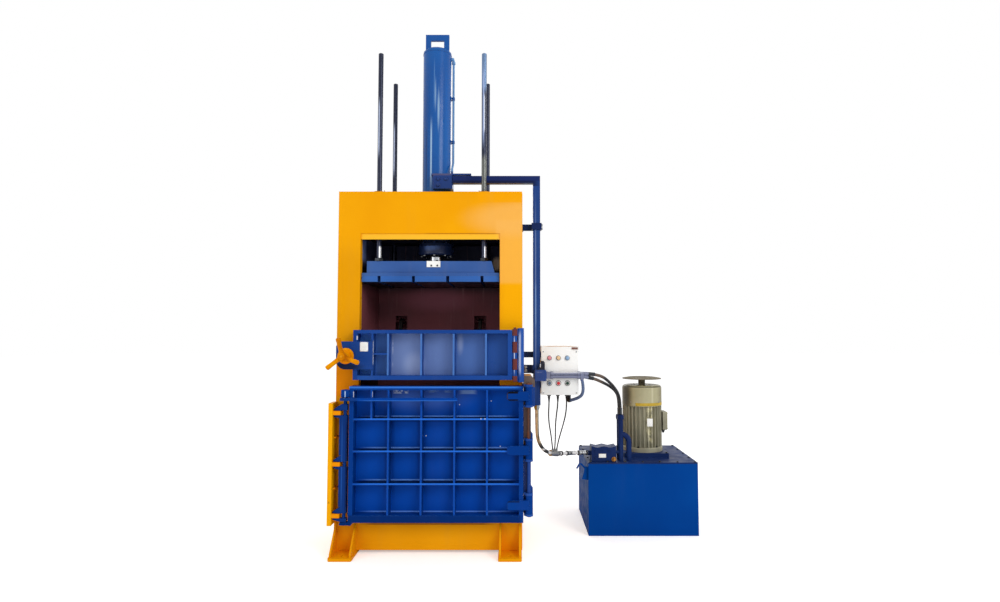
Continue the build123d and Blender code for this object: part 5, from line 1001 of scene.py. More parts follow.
class Finishes:
    """Every finish of the press, built once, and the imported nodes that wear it."""

    def __init__(self) -> None:
        """Builds all the materials."""
        self.worn_by: dict[str, Material] = {}
        yellow = Paint("press_yellow", "#f4a402", "#ee9d00", "#f9ad06", 0.34, 0.05,
                       bare="#7a6a4a", dusty=0.03, patches=FASCIA)
        self.yellow = self.coat(yellow, "front_portal rear_portal", "yellow_paint")
        self.coat(replace(yellow, name="head_yellow", patches=HEAD), "head_beam")
        self.base_yellow = self.coat(
            Paint("base_yellow", "#f29e02", "#e99602", "#f9a606", 0.4, 0.05, bare="#8a6a34",
                  dust="#a88f60", dusty=0.05, patches=BASE),
            "base_frame floor_feet", "yellow_paint")
        self.coat(Paint("column_yellow", "#fcb002", "#f6a900", "#ffb90a", 0.34, 0.06,
                        bare="#7a6a4a", dusty=0.03, patches=COLUMN), "side_columns keepers")
        # The wheel's brown rubbed edges are partly wear and partly painted shade along its arms'
        # outlines
        self.wheel_yellow = self.coat(
            Paint("wheel_yellow", "#e08800", "#bc6800", "#f2a000", 0.5, 0.03, cloud=14.0,
                  bare="#9a5204", worn=0.6, dusty=0.02, patches=WHEEL),
            "hand_wheel", "yellow_paint")
        self.upper_blue = self.coat(
            Paint("upper_door_blue", "#164391", "#103b84", "#1d4d9c", 0.34, 0.1, bare="#6f8fc8",
                  dusty=0.03, back=BEHIND_SKIN, patches=UPPER_DOOR), "upper_door", "blue_paint")
        self.coat(Paint("latch_blue", "#123c86", "#0e3478", "#174592", 0.3, bare="#6f8fc8",
                        dusty=0.03, patches=LATCH), "latch_plate")
        self.lower_blue = self.coat(
            Paint("lower_door_blue", "#00388a", "#003480", "#023f94", 0.38, 0.05, bare="#5f8fd0",
                  worn=0.7, dusty=0.02, back=BEHIND_SKIN, patches=LOWER_DOOR),
            "lower_door", "blue_paint")
        self.coat(Paint("lock_navy", "#0b357c", "#082c6c", "#103f8c", 0.42, 0.05, bare="#5f8fd0",
                        worn=0.6, dusty=0.02, patches=LOCK), "lock_shaft")
        self.post_blue = self.coat(
            Paint("hinge_blue", "#164a9e", "#104090", "#2257ac", 0.26, 0.2, bare="#8a9cc0",
                  patches=HINGE_POST), "hinge_mounts", "blue_paint")
        self.press_blue = self.coat(
            Paint("press_blue", "#1f3c7c", "#182f68", "#28488c", 0.3, 0.15, patches=PORT),
            "port_block", "blue_paint")
        self.barrel_blue = self.coat(
            Paint("barrel_blue", "#13549f", "#104a92", "#1c62ac", 0.22, 0.2, patches=BARREL),
            "cylinder_barrel cylinder_cap", "blue_paint")
        self.coat(Paint("platen_blue", "#33599b", "#284a86", "#3f68aa", 0.34, 0.2,
                        bare="#7d8799", worn=0.8, dusty=0.1), "platen")
        self.coat(Paint("shoe_blue", "#2f61ac", "#27559a", "#3a6cb8", 0.36, 0.16, bare="#70757d",
                        worn=0.8, dusty=0.1, tarnish=0.3, patches=SHOES), "platen_shoes")
        self.coat(Paint("duct_blue", "#1f4286", "#183878", "#285094", 0.28, patches=DUCT),
                  "pipe_duct")
        self.coat(Paint("bracket_navy", "#0f2458", "#0b1c48", "#152e68", bare="#6f7890"),
                  "duct_brackets")
        self.block_blue = self.coat(
            Paint("block_blue", "#24468c", "#1c3a7a", "#2c509a", 0.3, 0.25, dusty=0.05,
                  patches=HOSE_BLOCK), "hose_block", "blue_paint")
        self.coat(Paint("tank_blue", "#003f8f", "#003b88", "#004496", 0.45, 0.03, bare="#5f7fb6",
                        worn=0.3, dusty=0.01), "oil_tank")
        self.navy = self.coat(
            Paint("valve_navy", "#15295a", "#10214c", "#1b3368", 0.4, 0.08, bare="#6f7890",
                  dusty=0.06, tarnish=0.2), "tank_lid valve_manifold riser_pipes", "navy_paint")
        self.motor_cover = self.coat(
            Paint("motor_cover_grey", "#b2ac8a", "#a8a280", "#bcb694", 0.3, 0.2, cloud=6.0,
                  bare="#8a8674", dusty=0.08, patches=FAN_COVER), "fan_cover", "motor_grey")
        self.coat(Paint("motor_shell_grey", "#a39f89", "#928e7a", "#b0ab93", 0.5, cloud=6.0,
                        bare="#a5a294", dusty=0.25, dust="#6a6656", tarnish=0.3,
                        patches=MOTOR_SHELL), "motor_housing terminal_box")
        self.coat(Paint("canopy_grey", "#7c7564", "#6c6656", "#888070", 0.6, 0.03, cloud=5.0,
                        bare="#8f8976", dusty=0.1), "motor_canopy")
        self.coat(Moulding("box_cream", "#fffefb", "#faf6ee", 0.36, 0.3, rim=0.5,
                           patches=CONTROL_BOX), "control_box control_cover")
        self.coat(ChamberWall(patches=CHAMBER),
                  "chamber_side_walls chamber_back_wall chamber_floor")
        # Painted shade: the gland is painted dark navy for the shade under the head
        self.coat(Paint("gland_navy", "#1c2a4e", "#141f3c", "#25355e", 0.3, 0.3, bare="#6f7890",
                        dusty=0.05, patches=GLAND), "cylinder_gland")
        self.metals()
        self.plastics()

    def metals(self) -> None:
        """Builds the bare metals."""
        # The chrome guide rods are painted dark as their dark reflections; RODS lays on the
        # bright ones
        self.coat(Steel("guide_rod_steel", "#2a3047", "#161a2a", 0.2, -0.2, (8.0, 8.0, 1.0),
                        metal=0.55, patches=RODS), "guide_rods")
        self.dark_steel = self.coat(
            Steel("oiled_steel", "#4a4d52", "#24272b", 0.24, 0.05, (14.0, 14.0, 1.0)),
            "latch_screw", "dark_steel")
        self.coat(Steel("claw_steel", "#3d3a3a", "#1e1d1f", 0.42, 0.25, (6.0, 6.0, 6.0)),
                  "claw_left claw_right")
        self.coat(Steel("rusty_steel", "#6a4636", "#3c231a", 0.6, 0.6, (3.0, 3.0, 1.0),
                        rust="#7a3d20", metal=0.3, patches=PINS), "hinge_pins")
        self.coat(Steel("ram_chrome", "#c3c5c8", "#a4a7ab", 0.09, -0.2, (8.0, 8.0, 1.0)),
                  "piston_rod rotor_shaft")
        self.zinc = self.coat(
            Steel("zinc_plate", "#b4b6b8", "#8c8e90", 0.28, -0.1, (4.0, 4.0, 4.0)),
            "cable_collar", "pale_plate")
        self.brass = self.coat(
            Steel("brass", "#c8924e", "#8e5f2c", 0.3, 0.2, (4.0, 4.0, 4.0), rust="#a05a30"),
            slot="bearing_bronze")
        self.coat(Steel("guide_bronze", "#a67a3c", "#7a5526", 0.35, 0.0, (6.0, 6.0, 6.0)),
                  "rod_guides")
        self.coat(Steel("cast_iron", "#5b5a58", "#3d3c3b", 0.62, 0.1, (3.0, 3.0, 3.0),
                        metal=0.4, grit=150.0), "bell_housing gear_pump")

    def plastics(self) -> None:
        """Builds the plates, plastics, rubber and cord covers."""
        self.plate = self.coat(Moulding("bare_plate", "#fdfcf8", "#e6e6e2", 0.34, 0.4, rim=0.3),
                               "switch_plate", "pale_plate")
        self.black = self.coat(Moulding("black_plastic", "#17181c", "#2c2d33", 0.45),
                               "cable_glands cooling_fan", "black_plastic")
        self.rubber = self.coat(
            Moulding("black_rubber", "#17171a", "#29292e", 0.7, 0.25, depth=0.0004),
            slot="black_rubber")
        self.coat(Lenses(), "indicator_lamps")
        for shade, node, colour, stain in (("grey", "button_up", "#5c6c80", "#43505f"),
                                           ("red", "button_stop", "#d3202b", "#a01820"),
                                           ("green", "button_down", "#0b3a2c", "#06281e")):
            self.coat(Moulding(f"knob_{shade}", colour, stain, 0.28, 0.5), node)
        self.conduit = self.coat(Moulding("conduit_grey", "#5d6f93", "#4a5a7c", 0.4),
                                 "conduit_loop", "grey_conduit")
        self.hose = self.coat(HoseCover("hose_black", patches=ARM_HOSES),
                              "pressure_hose_front pressure_hose_rear return_hose",
                              "black_rubber")
        self.sleeved = self.coat(
            HoseCover("hose_sleeved", sleeve="#d4b890", sleeve_from=0.68, patches=SLEEVE),
            slot="black_rubber")
        self.cable = self.coat(
            HoseCover("cable_black", "#131417", "#26272b", rough=0.5, lay=60.0),
            "control_cable_left control_cable_middle control_cable_right", "black_rubber")
        self.marker = self.coat(
            Paint("marker_yellow", "#c8a83c", "#b5962f", "#d6b84c", 0.5, 0.2, bare="#5c5a58",
                  cloud=20.0, dusty=0.12), slot="yellow_paint")

    def coat(self, recipe: Recipe, nodes: str = "", slot: str = "") -> Coat:
        """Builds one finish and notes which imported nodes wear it.

        Args:
            recipe: How it is made.
            nodes: Those nodes' names with spaces between them.
            slot: The record's slot, for the script's own pieces.

        Returns:
            The finish.
        """
        made = Coat(recipe.make(), slot)
        self.worn_by.update({node: made.material for node in nodes.split()})
        return made

    def dress_nodes(self) -> None:
        """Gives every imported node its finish."""
        for name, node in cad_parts.items():
            node.data.materials.clear()
            node.data.materials.append(self.worn_by[name])
            log.info("node %s: %s", name, self.worn_by[name].name)


def hand_over(piece: Piece, coat: Coat, body: Body = Body.ROOT, smooth: float = 35.0) -> Piece:
    """Finishes a piece: its material, shading and body.

    Args:
        piece: The finished shape.
        coat: Its finish.
        body: What it moves with.
        smooth: Edges flatter than this are shaded smooth, in degrees.

    Returns:
        The same piece.
    """
    take(piece)
    bpy.ops.object.shade_smooth_by_angle(angle=math.radians(smooth))
    piece.data.materials.clear()
    piece.data.materials.append(coat.material)
    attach(piece, body.value)
    log.info("piece %s on %s: %d faces", piece.name, body.value, len(piece.data.polygons))
    return piece


def weld(name: str, runs: Sequence[tuple[Point, Point]], width: float, pitch: float, coat: Coat,
         body: Body = Body.ROOT) -> None:
    """Lays weld beads and hands them over; the arguments are those of seam and hand_over."""
    hand_over(seam(name, runs, width, pitch), coat, body, BEAD_SMOOTH)


# Cords


@dataclass(frozen=True)
class Route:
    """One free hose or cable: its points in metres, thickness and true length."""

    name: str
    node: str
    points: tuple[Spot, ...]
    radius: float
    length: float
    stiffness: str = "medium"

    def hang(self) -> Piece:
        """Makes the cord's tube on its smooth line."""
        data = bpy.data.curves.new(self.name, "CURVE")
        data.dimensions = "3D"
        spline = data.splines.new("NURBS")
        spline.points.add(len(self.points) - 1)
        for knot, point in zip(spline.points, self.points):
            knot.co = (*point, 1.0)
        spline.order_u = 3
        spline.use_endpoint_u = True
        spline.use_smooth = True
        data.resolution_u = 10
        data.bevel_depth = self.radius
        data.bevel_resolution = 5
        data.use_fill_caps = True
        cord = bpy.data.objects.new(self.name, data)
        bpy.context.collection.objects.link(cord)
        return cord


def line_of(cord: Piece) -> list[Vector]:
    """The points of a cord's smooth line, close together, from its exit on."""
    bare = cord.copy()
    bare.data = cord.data.copy()
    bare.data.bevel_depth = 0.0
    mesh = bpy.data.meshes.new_from_object(bare)
    points = [vertex.co.copy() for vertex in mesh.vertices]
    bpy.data.meshes.remove(mesh)
    bpy.data.curves.remove(bare.data)
    return points


def along(points: Sequence[Vector], distance: float) -> tuple[Vector, Vector]:
    """Where a cord is at a distance from its exit, and its direction there.

    Args:
        points: The cord's line.
        distance: Along it from the exit, or from the far end if negative.

    Returns:
        The point and the unit direction towards the far end.
    """
    steps = list(zip(points, points[1:]))
    total = sum((b - a).length for a, b in steps)
    left = distance if distance >= 0.0 else total + distance
    for a, b in steps:
        run = b - a
        if left <= run.length:
            return a + run.normalized() * left, run.normalized()
        left -= run.length
    return points[-1], (points[-1] - points[-2]).normalized()


# Length and points of each cord, from its exit to its far end

PRESSURE_HOSES = {
    "front": (0.560, ((1.0634, -0.1898, 1.1529), (1.108, -0.180, 1.149), (1.172, -0.140, 1.130),
                      (1.222, -0.075, 1.091), (1.268, -0.008, 1.048), (1.308, 0.048, 0.994),
                      (1.329, 0.095, 0.925), (1.329, 0.095, 0.840))),
    "rear": (0.579, ((1.0608, -0.1839, 1.1286), (1.106, -0.160, 1.119), (1.170, -0.080, 1.090),
                     (1.243, 0.010, 1.052), (1.306, 0.098, 1.000), (1.329, 0.150, 0.925),
                     (1.329, 0.150, 0.835))),
}
RETURN_HOSE = (0.739, ((0.716, -0.130, 0.936), (0.716, -0.130, 0.810), (0.721, -0.127, 0.690),
                       (0.778, -0.082, 0.602), (0.880, 0.020, 0.576), (1.000, 0.110, 0.564),
                       (1.093, 0.110, 0.564)))
CABLES = {
    "left": (0.376, ((0.802, -0.100, 0.988), (0.802, -0.100, 0.935), (0.798, -0.092, 0.868),
                     (0.803, -0.080, 0.800), (0.815, -0.065, 0.733), (0.824, -0.049, 0.670),
                     (0.829, -0.038, 0.620))),
    "middle": (0.382, ((0.863, -0.100, 0.988), (0.863, -0.100, 0.936), (0.854, -0.092, 0.869),
                       (0.848, -0.079, 0.802), (0.848, -0.060, 0.736), (0.848, -0.039, 0.672),
                       (0.845, -0.022, 0.617))),
    "right": (0.393, ((0.924, -0.100, 0.988), (0.924, -0.100, 0.937), (0.919, -0.088, 0.871),
                      (0.905, -0.071, 0.806), (0.888, -0.051, 0.741), (0.871, -0.029, 0.676),
                      (0.861, -0.008, 0.615))),
}
CONDUIT = (0.235, ((1.022, -0.195, 1.109), (1.035, -0.190, 1.048), (1.016, -0.142, 0.984),
                   (0.954, -0.072, 0.962)))


@dataclass
class Cords:
    """The free hoses, cables and conduit, with the fittings that sit on them."""

    finishes: Finishes
    hose_radius: float = 0.0105
    return_radius: float = 0.012
    cable_radius: float = 0.0045
    conduit_radius: float = 0.010
    couplings: tuple = ((-0.062, 0.052), (-0.160, 0.075))
    ring_spots: tuple = (-0.012, -0.075, -0.170, -0.225, -0.252)
    conduit_rib_count: int = 38
    conduit_pitch: float = 0.0058

    def lay(self, route: Route, coat: Coat, fittings: Fittings) -> None:
        """Hangs one cord and its fittings, and logs them.

        Args:
            route: The cord.
            coat: Its finish.
            fittings: Makes the pieces on it from its line.
        """
        cord = route.hang()
        cord.data.materials.append(coat.material)
        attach(cord, Body.ROOT.value)
        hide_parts(route.node)
        pieces = fittings(line_of(cord))
        log.info("cord %s: %.3f m, %d pieces on it", cord.name, route.length, len(pieces))

    def ferrules(self, tag: str, line: Sequence[Vector]) -> list[Piece]:
        """Crimped ferrules on both ends of a pressure hose."""
        shell = profile(((0.6, 0.0), (1.12, 0.0), (1.28, 0.003)), self.hose_radius)
        for ridge in range(4):
            shell += profile(((1.28, 0.0), (1.16, 0.0025), (1.16, 0.005), (1.28, 0.0075)),
                             self.hose_radius, foot=0.006 + 0.009 * ridge)
        shell += profile(((1.26, 0.045), (1.06, 0.048)), self.hose_radius)
        ends = []
        for end, distance, facing in (("arm", 0.0, 1), ("riser", -0.0005, -1)):
            spot, lead = along(line, distance)
            sleeve = turned(f"ferrule_{tag}_{end}_sleeve", shell, sides=20)
            ends.append(stand(sleeve, spot, facing * lead))
        return [hand_over(end, self.finishes.dark_steel) for end in ends]

    def return_fittings(self, line: Sequence[Vector]) -> list[Piece]:
        """Bright couplings, dark rings and the duct's nut on the return hose."""
        f, r = self.finishes, self.return_radius
        pieces = []
        for index, (start, size) in enumerate(self.couplings):
            shell = turned(f"return_coupling_{index}", profile(
                ((1.02, 0.0), (1.3, 0.001), (1.34, 0.004), (1.34, size * 0.3),
                 (1.22, size * 0.36), (1.22, size * 0.64), (1.34, size * 0.7),
                 (1.34, size - 0.004), (1.3, size - 0.001), (1.02, size)), r))
            pieces.append(hand_over(stand(shell, *along(line, start)), f.zinc))
        rings = turned("return_rings", profile(((1.02, 0.0), (1.42, 0.0005), (1.5, 0.003),
                                                (1.5, 0.006), (1.42, 0.0085), (1.02, 0.009)), r))
        places = [aim(*along(line, distance)) for distance in self.ring_spots]
        pieces.append(hand_over(spread(rings, places), f.rubber))
        collar = turned("duct_hose_nut", profile(
            ((1.1, 0.0), (1.75, 0.001), (1.8, 0.005), (1.8, 0.02), (1.55, 0.024), (1.3, 0.034),
             (1.02, 0.036)), r), 6)
        pieces.append(hand_over(stand(collar, *along(line, 0.0)), f.zinc))
        return pieces

    def boot(self, tag: str, line: Sequence[Vector]) -> list[Piece]:
        """A tapered strain relief under one of the box's glands."""
        r = self.cable_radius
        outline = profile(((1.7, 0.0), (1.95, 0.002)), r)
        for rib in range(4):
            outline += profile(((1.0, 0.0), (0.86, 0.002), (0.86, 0.004)),
                               r * (1.8 - 0.16 * rib), foot=0.006 + 0.006 * rib)
        outline += profile(((1.12, 0.032), (1.02, 0.034)), r)
        piece = stand(turned(f"cable_boot_{tag}", outline, 18), *along(line, 0.0))
        return [hand_over(piece, self.finishes.rubber)]

    def conduit_ribs(self, line: Sequence[Vector]) -> list[Piece]:
        """The ribs of the flexible conduit, as one piece."""
        rib = turned("conduit_ribs", profile(((0.98, 0.0), (1.1, 0.001), (1.1, 0.0024),
                                              (0.98, 0.0034)), self.conduit_radius), 18)
        places = [aim(*along(line, 0.008 + self.conduit_pitch * i))
                  for i in range(self.conduit_rib_count)]
        return [hand_over(spread(rib, places), self.finishes.conduit)]

    def build(self) -> None:
        """Hangs all seven."""
        f = self.finishes
        for tag, (length, points) in PRESSURE_HOSES.items():
            self.lay(Route(f"hose_pressure_{tag}", f"pressure_hose_{tag}", points,
                           self.hose_radius, length, "stiff"), f.hose,
                     partial(self.ferrules, tag))
        length, points = RETURN_HOSE
        self.lay(Route("hose_return", "return_hose", points, self.return_radius, length),
                 f.sleeved, self.return_fittings)
        for tag, (length, points) in CABLES.items():
            self.lay(Route(f"cable_{tag}", f"control_cable_{tag}", points, self.cable_radius,
                           length), f.cable, partial(self.boot, tag))
        length, points = CONDUIT
        self.lay(Route("conduit_flex", "conduit_loop", points, self.conduit_radius, length),
                 f.conduit, self.conduit_ribs)


# Sub-assemblies


@dataclass
class PressFrame:
    """The welded frame's trim: beads, head bolts and guide nipples."""

    finishes: Finishes
    half_w: float = 0.614
    half_d: float = 0.310
    plate: float = 0.012
    top: float = 2.378
    base_top: float = 0.220
    foot_top: float = 0.020
    foot_w: float = 0.150
    foot_reach: float = 0.134
    gusset_h: float = 0.180
    rib_z: tuple = (0.420, 0.900, 1.240, 1.760)
    rib_h: float = 0.080
    stitch_from: float = -0.56
    stitch: float = 0.06
    stitch_pitch: float = 0.20
    nipple_in: float = 0.033

    def column_runs(self) -> Runs:
        """Where the columns' side plates meet the front and rear plates."""
        y = self.half_d - self.plate
        return [((x, side * y, self.base_top + 0.004), (x, side * y, self.top - 0.004))
                for x in (-self.half_w, self.half_w) for side in (-1, 1)]

    def foot_runs(self) -> Runs:
        """Both sides of the feet's gussets."""
        runs = []
        low, face = self.foot_top, self.half_d
        for side in (-1, 1):
            outer = side * (self.half_w - 0.004)
            inner = side * (self.half_w - 0.004 - self.foot_w)
            for x in (outer - side * self.plate, inner + side * self.plate):
                for end in (-1, 1):
                    for cheek in (x - self.plate / 2, x + self.plate / 2):
                        runs += [((cheek, end * face, low + 0.002),
                                  (cheek, end * face, low + self.gusset_h)),
                                 ((cheek, end * face, low),
                                  (cheek, end * face + end * self.foot_reach, low))]
        return runs

    def rib_runs(self) -> Runs:
        """Stitch welds under and over the rear ribs."""
        runs = []
        for z in self.rib_z:
            for edge in (z, z + self.rib_h):
                x = self.stitch_from
                while x < -self.stitch_from:
                    runs.append(((x, self.half_d, edge), (x + self.stitch, self.half_d, edge)))
                    x += self.stitch_pitch
        return runs

    def build(self) -> None:
        """Builds the frame's trim."""
        f = self.finishes
        weld("column_beads", self.column_runs(), 0.005, 0.010, f.yellow)
        weld("foot_beads", self.foot_runs(), 0.006, 0.008, f.base_yellow)
        weld("rib_beads", self.rib_runs(), 0.006, 0.009, f.yellow)
        places = [aim((x, y, self.top), UP, x) for x in (-0.160, 0.160)
                  for y in (-0.080, 0.0, 0.080)]
        hand_over(spread(hex_bolt("head_bolts", 0.019, 0.014, 0.003), places), f.dark_steel)
        nipple = turned("guide_nipples", ((0.0045, 0.0), (0.0045, 0.004), (0.003, 0.0045),
                                          (0.0022, 0.008), (0.0034, 0.0095), (0.0026, 0.012)), 12)
        places = [aim((x + self.nipple_in * inwards, y, self.top + 0.008), UP)
                  for x, inwards in ((-ROD_X, 1), (ROD_X, -1)) for y in (-ROD_Y, ROD_Y)]
        hand_over(spread(nipple, places), f.brass)


@dataclass
class Doors:
    """Trim of both doors: rib beads, the blank plate, the hand wheel and hinge nipples."""

    finishes: Finishes
    front: float = -0.405
    rib_t: float = 0.012
    upper_ribs: tuple = (-0.357, -0.255, -0.040, 0.170, 0.379)
    upper_z: tuple = (1.156, 1.427)
    lower_ribs: tuple = (-0.248, -0.036, 0.177, 0.387)
    lower_z: tuple = (0.268, 1.063)
    lower_x: tuple = (-0.472, 0.592)
    edge: tuple = (0.620, -0.330)
    strip: tuple = (0.6232, -0.351)
    strip_z: tuple = (0.290, 1.140)
    latch_x: float = -0.351
    latch_z: tuple = (1.200, 1.372)
    plate_x: tuple = (-0.432, -0.380)
    plate_z: tuple = (1.312, 1.372)
    plate_t: float = 0.0016
    latch_front: float = -0.417
    wheel: Spot = (-0.520, -0.420, 1.283)
    arm_reach: float = 0.118
    arm_rake: float = 0.028
    arm_out: float = 0.088
    nipple: tuple = (0.657, -0.411)
    nipple_z: tuple = (0.335, 0.680, 1.025)

    def cheeks(self, ribs: Sequence[float]) -> list[float]:
        """Both sides of each rib."""
        return [rib + side for rib in ribs for side in (-self.rib_t / 2, self.rib_t / 2)]

    def beads(self) -> None:
        """Beads in the corners between the ribs and skins, and down the hinges' strips."""
        f = self.finishes
        runs = [upright(x, SKIN, self.upper_z) for x in self.cheeks(self.upper_ribs)]
        runs.append(upright(self.latch_x, self.front, self.latch_z))
        weld("upper_door_beads", runs, 0.005, 0.0085, f.upper_blue, Body.UPPER_DOOR)
        left, right = self.lower_x
        runs = [upright(x, SKIN, self.lower_z) for x in self.cheeks(self.lower_ribs)]
        runs += [((left, SKIN, z), (right, SKIN, z)) for z in self.cheeks(ROWS)]
        weld("lower_door_beads", runs, 0.005, 0.0085, f.lower_blue, Body.LOWER_DOOR)
        weld("hinge_strip_beads", [upright(*self.strip, self.strip_z)], 0.0044, 0.0075,
             f.post_blue)
        weld("door_edge_bead", [upright(*self.edge, self.lower_z)], 0.0044, 0.0075, f.lower_blue,
             Body.LOWER_DOOR)

    def blank_plate(self) -> None:
        """The bare pale plate on the latch plate, with its four rivets."""
        (x0, x1), (z0, z1) = self.plate_x, self.plate_z
        face = self.latch_front - self.plate_t
        plate = bar("latch_blank_plate", (x0, face, z0), (x1, self.latch_front, z1), 0.0006)
        hand_over(plate, self.finishes.plate, Body.UPPER_DOOR)
        rivet = turned("latch_rivets", ((0.0024, 0.0), (0.0022, 0.0007), (0.0014, 0.0013)), 12)
        places = [aim((x, face, z), FRONT) for x in (x0 + 0.004, x1 - 0.004)
                  for z in (z0 + 0.004, z1 - 0.004)]
        hand_over(spread(rivet, places), self.finishes.zinc, Body.UPPER_DOOR)

    def hand_wheel(self) -> Piece:
        """The cast hand wheel: dished disc, long hub and three raked arms with round ends."""
        disc = turned("wheel_disc", ((0.040, 0.0), (0.0505, 0.001), (0.0515, 0.004),
                                     (0.0515, 0.015), (0.048, 0.021), (0.040, 0.0225),
                                     (0.034, 0.019), (0.030, 0.020), (0.0275, 0.026),
                                     (0.026, 0.034), (0.026, 0.106), (0.0245, 0.113),
                                     (0.020, 0.116), (0.012, 0.116), (0.0105, 0.1135)), 40)
        pieces = [stand(disc, self.wheel, FRONT)]
        x, y, z = self.wheel
        for degrees in (100.0, 220.0, 340.0):
            angle = math.radians(degrees)
            run = Vector((self.arm_reach * math.cos(angle), -self.arm_rake,
                          self.arm_reach * math.sin(angle)))
            size = run.length
            arm = turned("wheel_arm", ((0.0160, 0.0), (0.0156, 0.028), (0.0142, 0.036),
                                       (0.0138, size * 0.55), (0.0142, size * 0.72),
                                       (0.0150, size * 0.82), (0.0154, size * 0.90),
                                       (0.0146, size * 0.95), (0.0115, size * 0.985),
                                       (0.0060, size)), 18)
            pieces.append(stand(arm, (x, y - self.arm_out, z), run))
        return merge("latch_hand_wheel", pieces)

    def build(self) -> None:
        """Builds the doors' trim."""
        f = self.finishes
        self.beads()
        self.blank_plate()
        wheel = hand_over(self.hand_wheel(), f.wheel_yellow, Body.WHEEL, 50)
        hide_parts("hand_wheel")
        nipple = turned("hinge_nipples", ((0.0042, 0.0), (0.0042, 0.004), (0.0028, 0.0046),
                                          (0.002, 0.008), (0.0032, 0.0095), (0.0024, 0.012)), 12)
        places = [aim((*self.nipple, z), FRONT) for z in self.nipple_z]
        hand_over(spread(nipple, places), f.lower_blue, Body.LOWER_DOOR)


@dataclass
class Hydraulics:
    """Trim of the cylinder, its pipe work, the guard duct and the platen."""

    finishes: Finishes
    barrel_r: float = 0.1015
    barrel_top: float = 3.450
    barrel_foot: float = 1.980
    ripples: int = 84
    bypass: tuple = (0.118, 0.0)
    union_spots: tuple = (((0.118, -0.072, 2.542), UP), ((0.118, 0.0, 3.388), UP),
                          ((0.1005, 0.0, 3.425), RIGHT))
    saddle_z: tuple = (2.80, 3.12)
    port_front: float = -0.155
    port_plugs: tuple = ((0.030, 2.505), (0.085, 2.505), (0.030, 2.462))
    switch_bolt_x: tuple = (0.0043, 0.0448)
    switch_bolt_yz: tuple = (-0.281, 1.8822)
    box_top: float = 1.913
    plate_top: float = 1.833
    clamp: Spot = (0.751, -0.130, 2.170)
    low_bracket: Spot = (0.6405, -0.105, 1.181)
    bolt_off: float = 0.012

    def barrel_bead(self) -> Piece:
        """The ring bead between the barrel and its cap."""
        lay_down()
        bpy.ops.mesh.primitive_ico_sphere_add(subdivisions=1, radius=1.0,
                                              scale=(0.0028, 0.0055, 0.0030))
        ripple = fix_place(bpy.context.object)
        ripple.name = "barrel_bead"
        out = Matrix.Translation((self.barrel_r, 0.0, self.barrel_top))
        return spread(ripple, [Matrix.Rotation(2 * math.pi * i / self.ripples, 4, "Z") @ out
                               for i in range(self.ripples)])

    def unions(self) -> Piece:
        """Hexagon unions on the bypass pipe and plugs on the port block."""
        nut = ((0.0125, 0.0), (0.0145, 0.001), (0.0145, 0.015), (0.0125, 0.017), (0.0085, 0.021))
        pieces = [stand(turned("union", nut, 6), at, way) for at, way in self.union_spots]
        pieces += [stand(hex_bolt("port_plug", 0.0125, 0.008, 0.002), (px, self.port_front, pz),
                         FRONT) for px, pz in self.port_plugs]
        return merge("port_unions", pieces)

    def bypass_clamps(self) -> Piece:
        """Saddle clamps that hold the bypass pipe to the barrel."""
        pieces = []
        x, y = self.bypass
        for z in self.saddle_z:
            saddle = turned("saddle", ((0.0085, 0.0), (0.0105, 0.0), (0.0108, 0.002),
                                       (0.0108, 0.020), (0.0105, 0.022), (0.0085, 0.022)), 18)
            pieces += [stand(saddle, (x, y, z), UP),
                       bar("saddle_foot", (x - 0.020, y - 0.028, z + 0.002),
                           (x - 0.013, y + 0.028, z + 0.020), 0.0015)]
            pieces += [stand(hex_bolt("saddle_bolt", 0.0055, 0.0045),
                             (x - 0.013, y + side * 0.020, z + 0.011), RIGHT)
                       for side in (-1, 1)]
        return merge("bypass_clamps", pieces)

    def cylinder(self) -> None:
        """Bead, unions and clamps of the cylinder, its gland's screws and its wiper."""
        f = self.finishes
        hand_over(self.barrel_bead(), f.barrel_blue, smooth=BEAD_SMOOTH)
        hand_over(self.unions(), f.press_blue)
        hand_over(self.bypass_clamps(), f.barrel_blue)
        places = [aim((x, *self.switch_bolt_yz), FRONT) for x in self.switch_bolt_x]
        hand_over(spread(hex_bolt("switch_bolts", 0.0064, 0.0045), places), f.dark_steel,
                  Body.PLATEN)
        foot = (0.0, 0.0, self.barrel_foot)
        hand_over(spread(socket_screw("gland_screws", 0.0085, 0.007),
                         ring_places(foot, 0.103, 8, axis=DOWN)), f.zinc)
        wiper = turned("ram_wiper", ((0.0553, 0.0), (0.066, 0.0), (0.070, -0.003),
                                     (0.070, -0.008), (0.060, -0.011), (0.0553, -0.009)), 48)
        hand_over(stand(wiper, foot, UP), f.rubber)

    def build(self) -> None:
        """Builds the hydraulics' trim."""
        f = self.finishes
        self.cylinder()
        foot = spread(hex_bolt("ram_foot_bolts", 0.0105, 0.008, 0.002),
                      ring_places((0.0, 0.0, self.box_top + 0.022), 0.0745, 8, first=0.2))
        hand_over(foot, f.dark_steel, Body.PLATEN)
        nut = turned("rod_foot_nuts", ((0.026, 0.0), (0.030, 0.002), (0.030, 0.020),
                                       (0.026, 0.023), (0.0175, 0.023)), 6)
        places = [aim((x, y, z), UP, 0.3) for x in (-ROD_X, ROD_X)
                  for y, z in ((-ROD_Y, self.box_top), (ROD_Y, self.plate_top))]
        hand_over(spread(nut, places), f.dark_steel, Body.PLATEN)
        places = [aim((x, y, z + off), way)
                  for (x, y, z), way in ((self.clamp, RIGHT), (self.low_bracket, FRONT))
                  for off in (-self.bolt_off, self.bolt_off)]
        hand_over(spread(hex_bolt("duct_bolts", 0.009, 0.007, 0.0016), places), f.zinc)


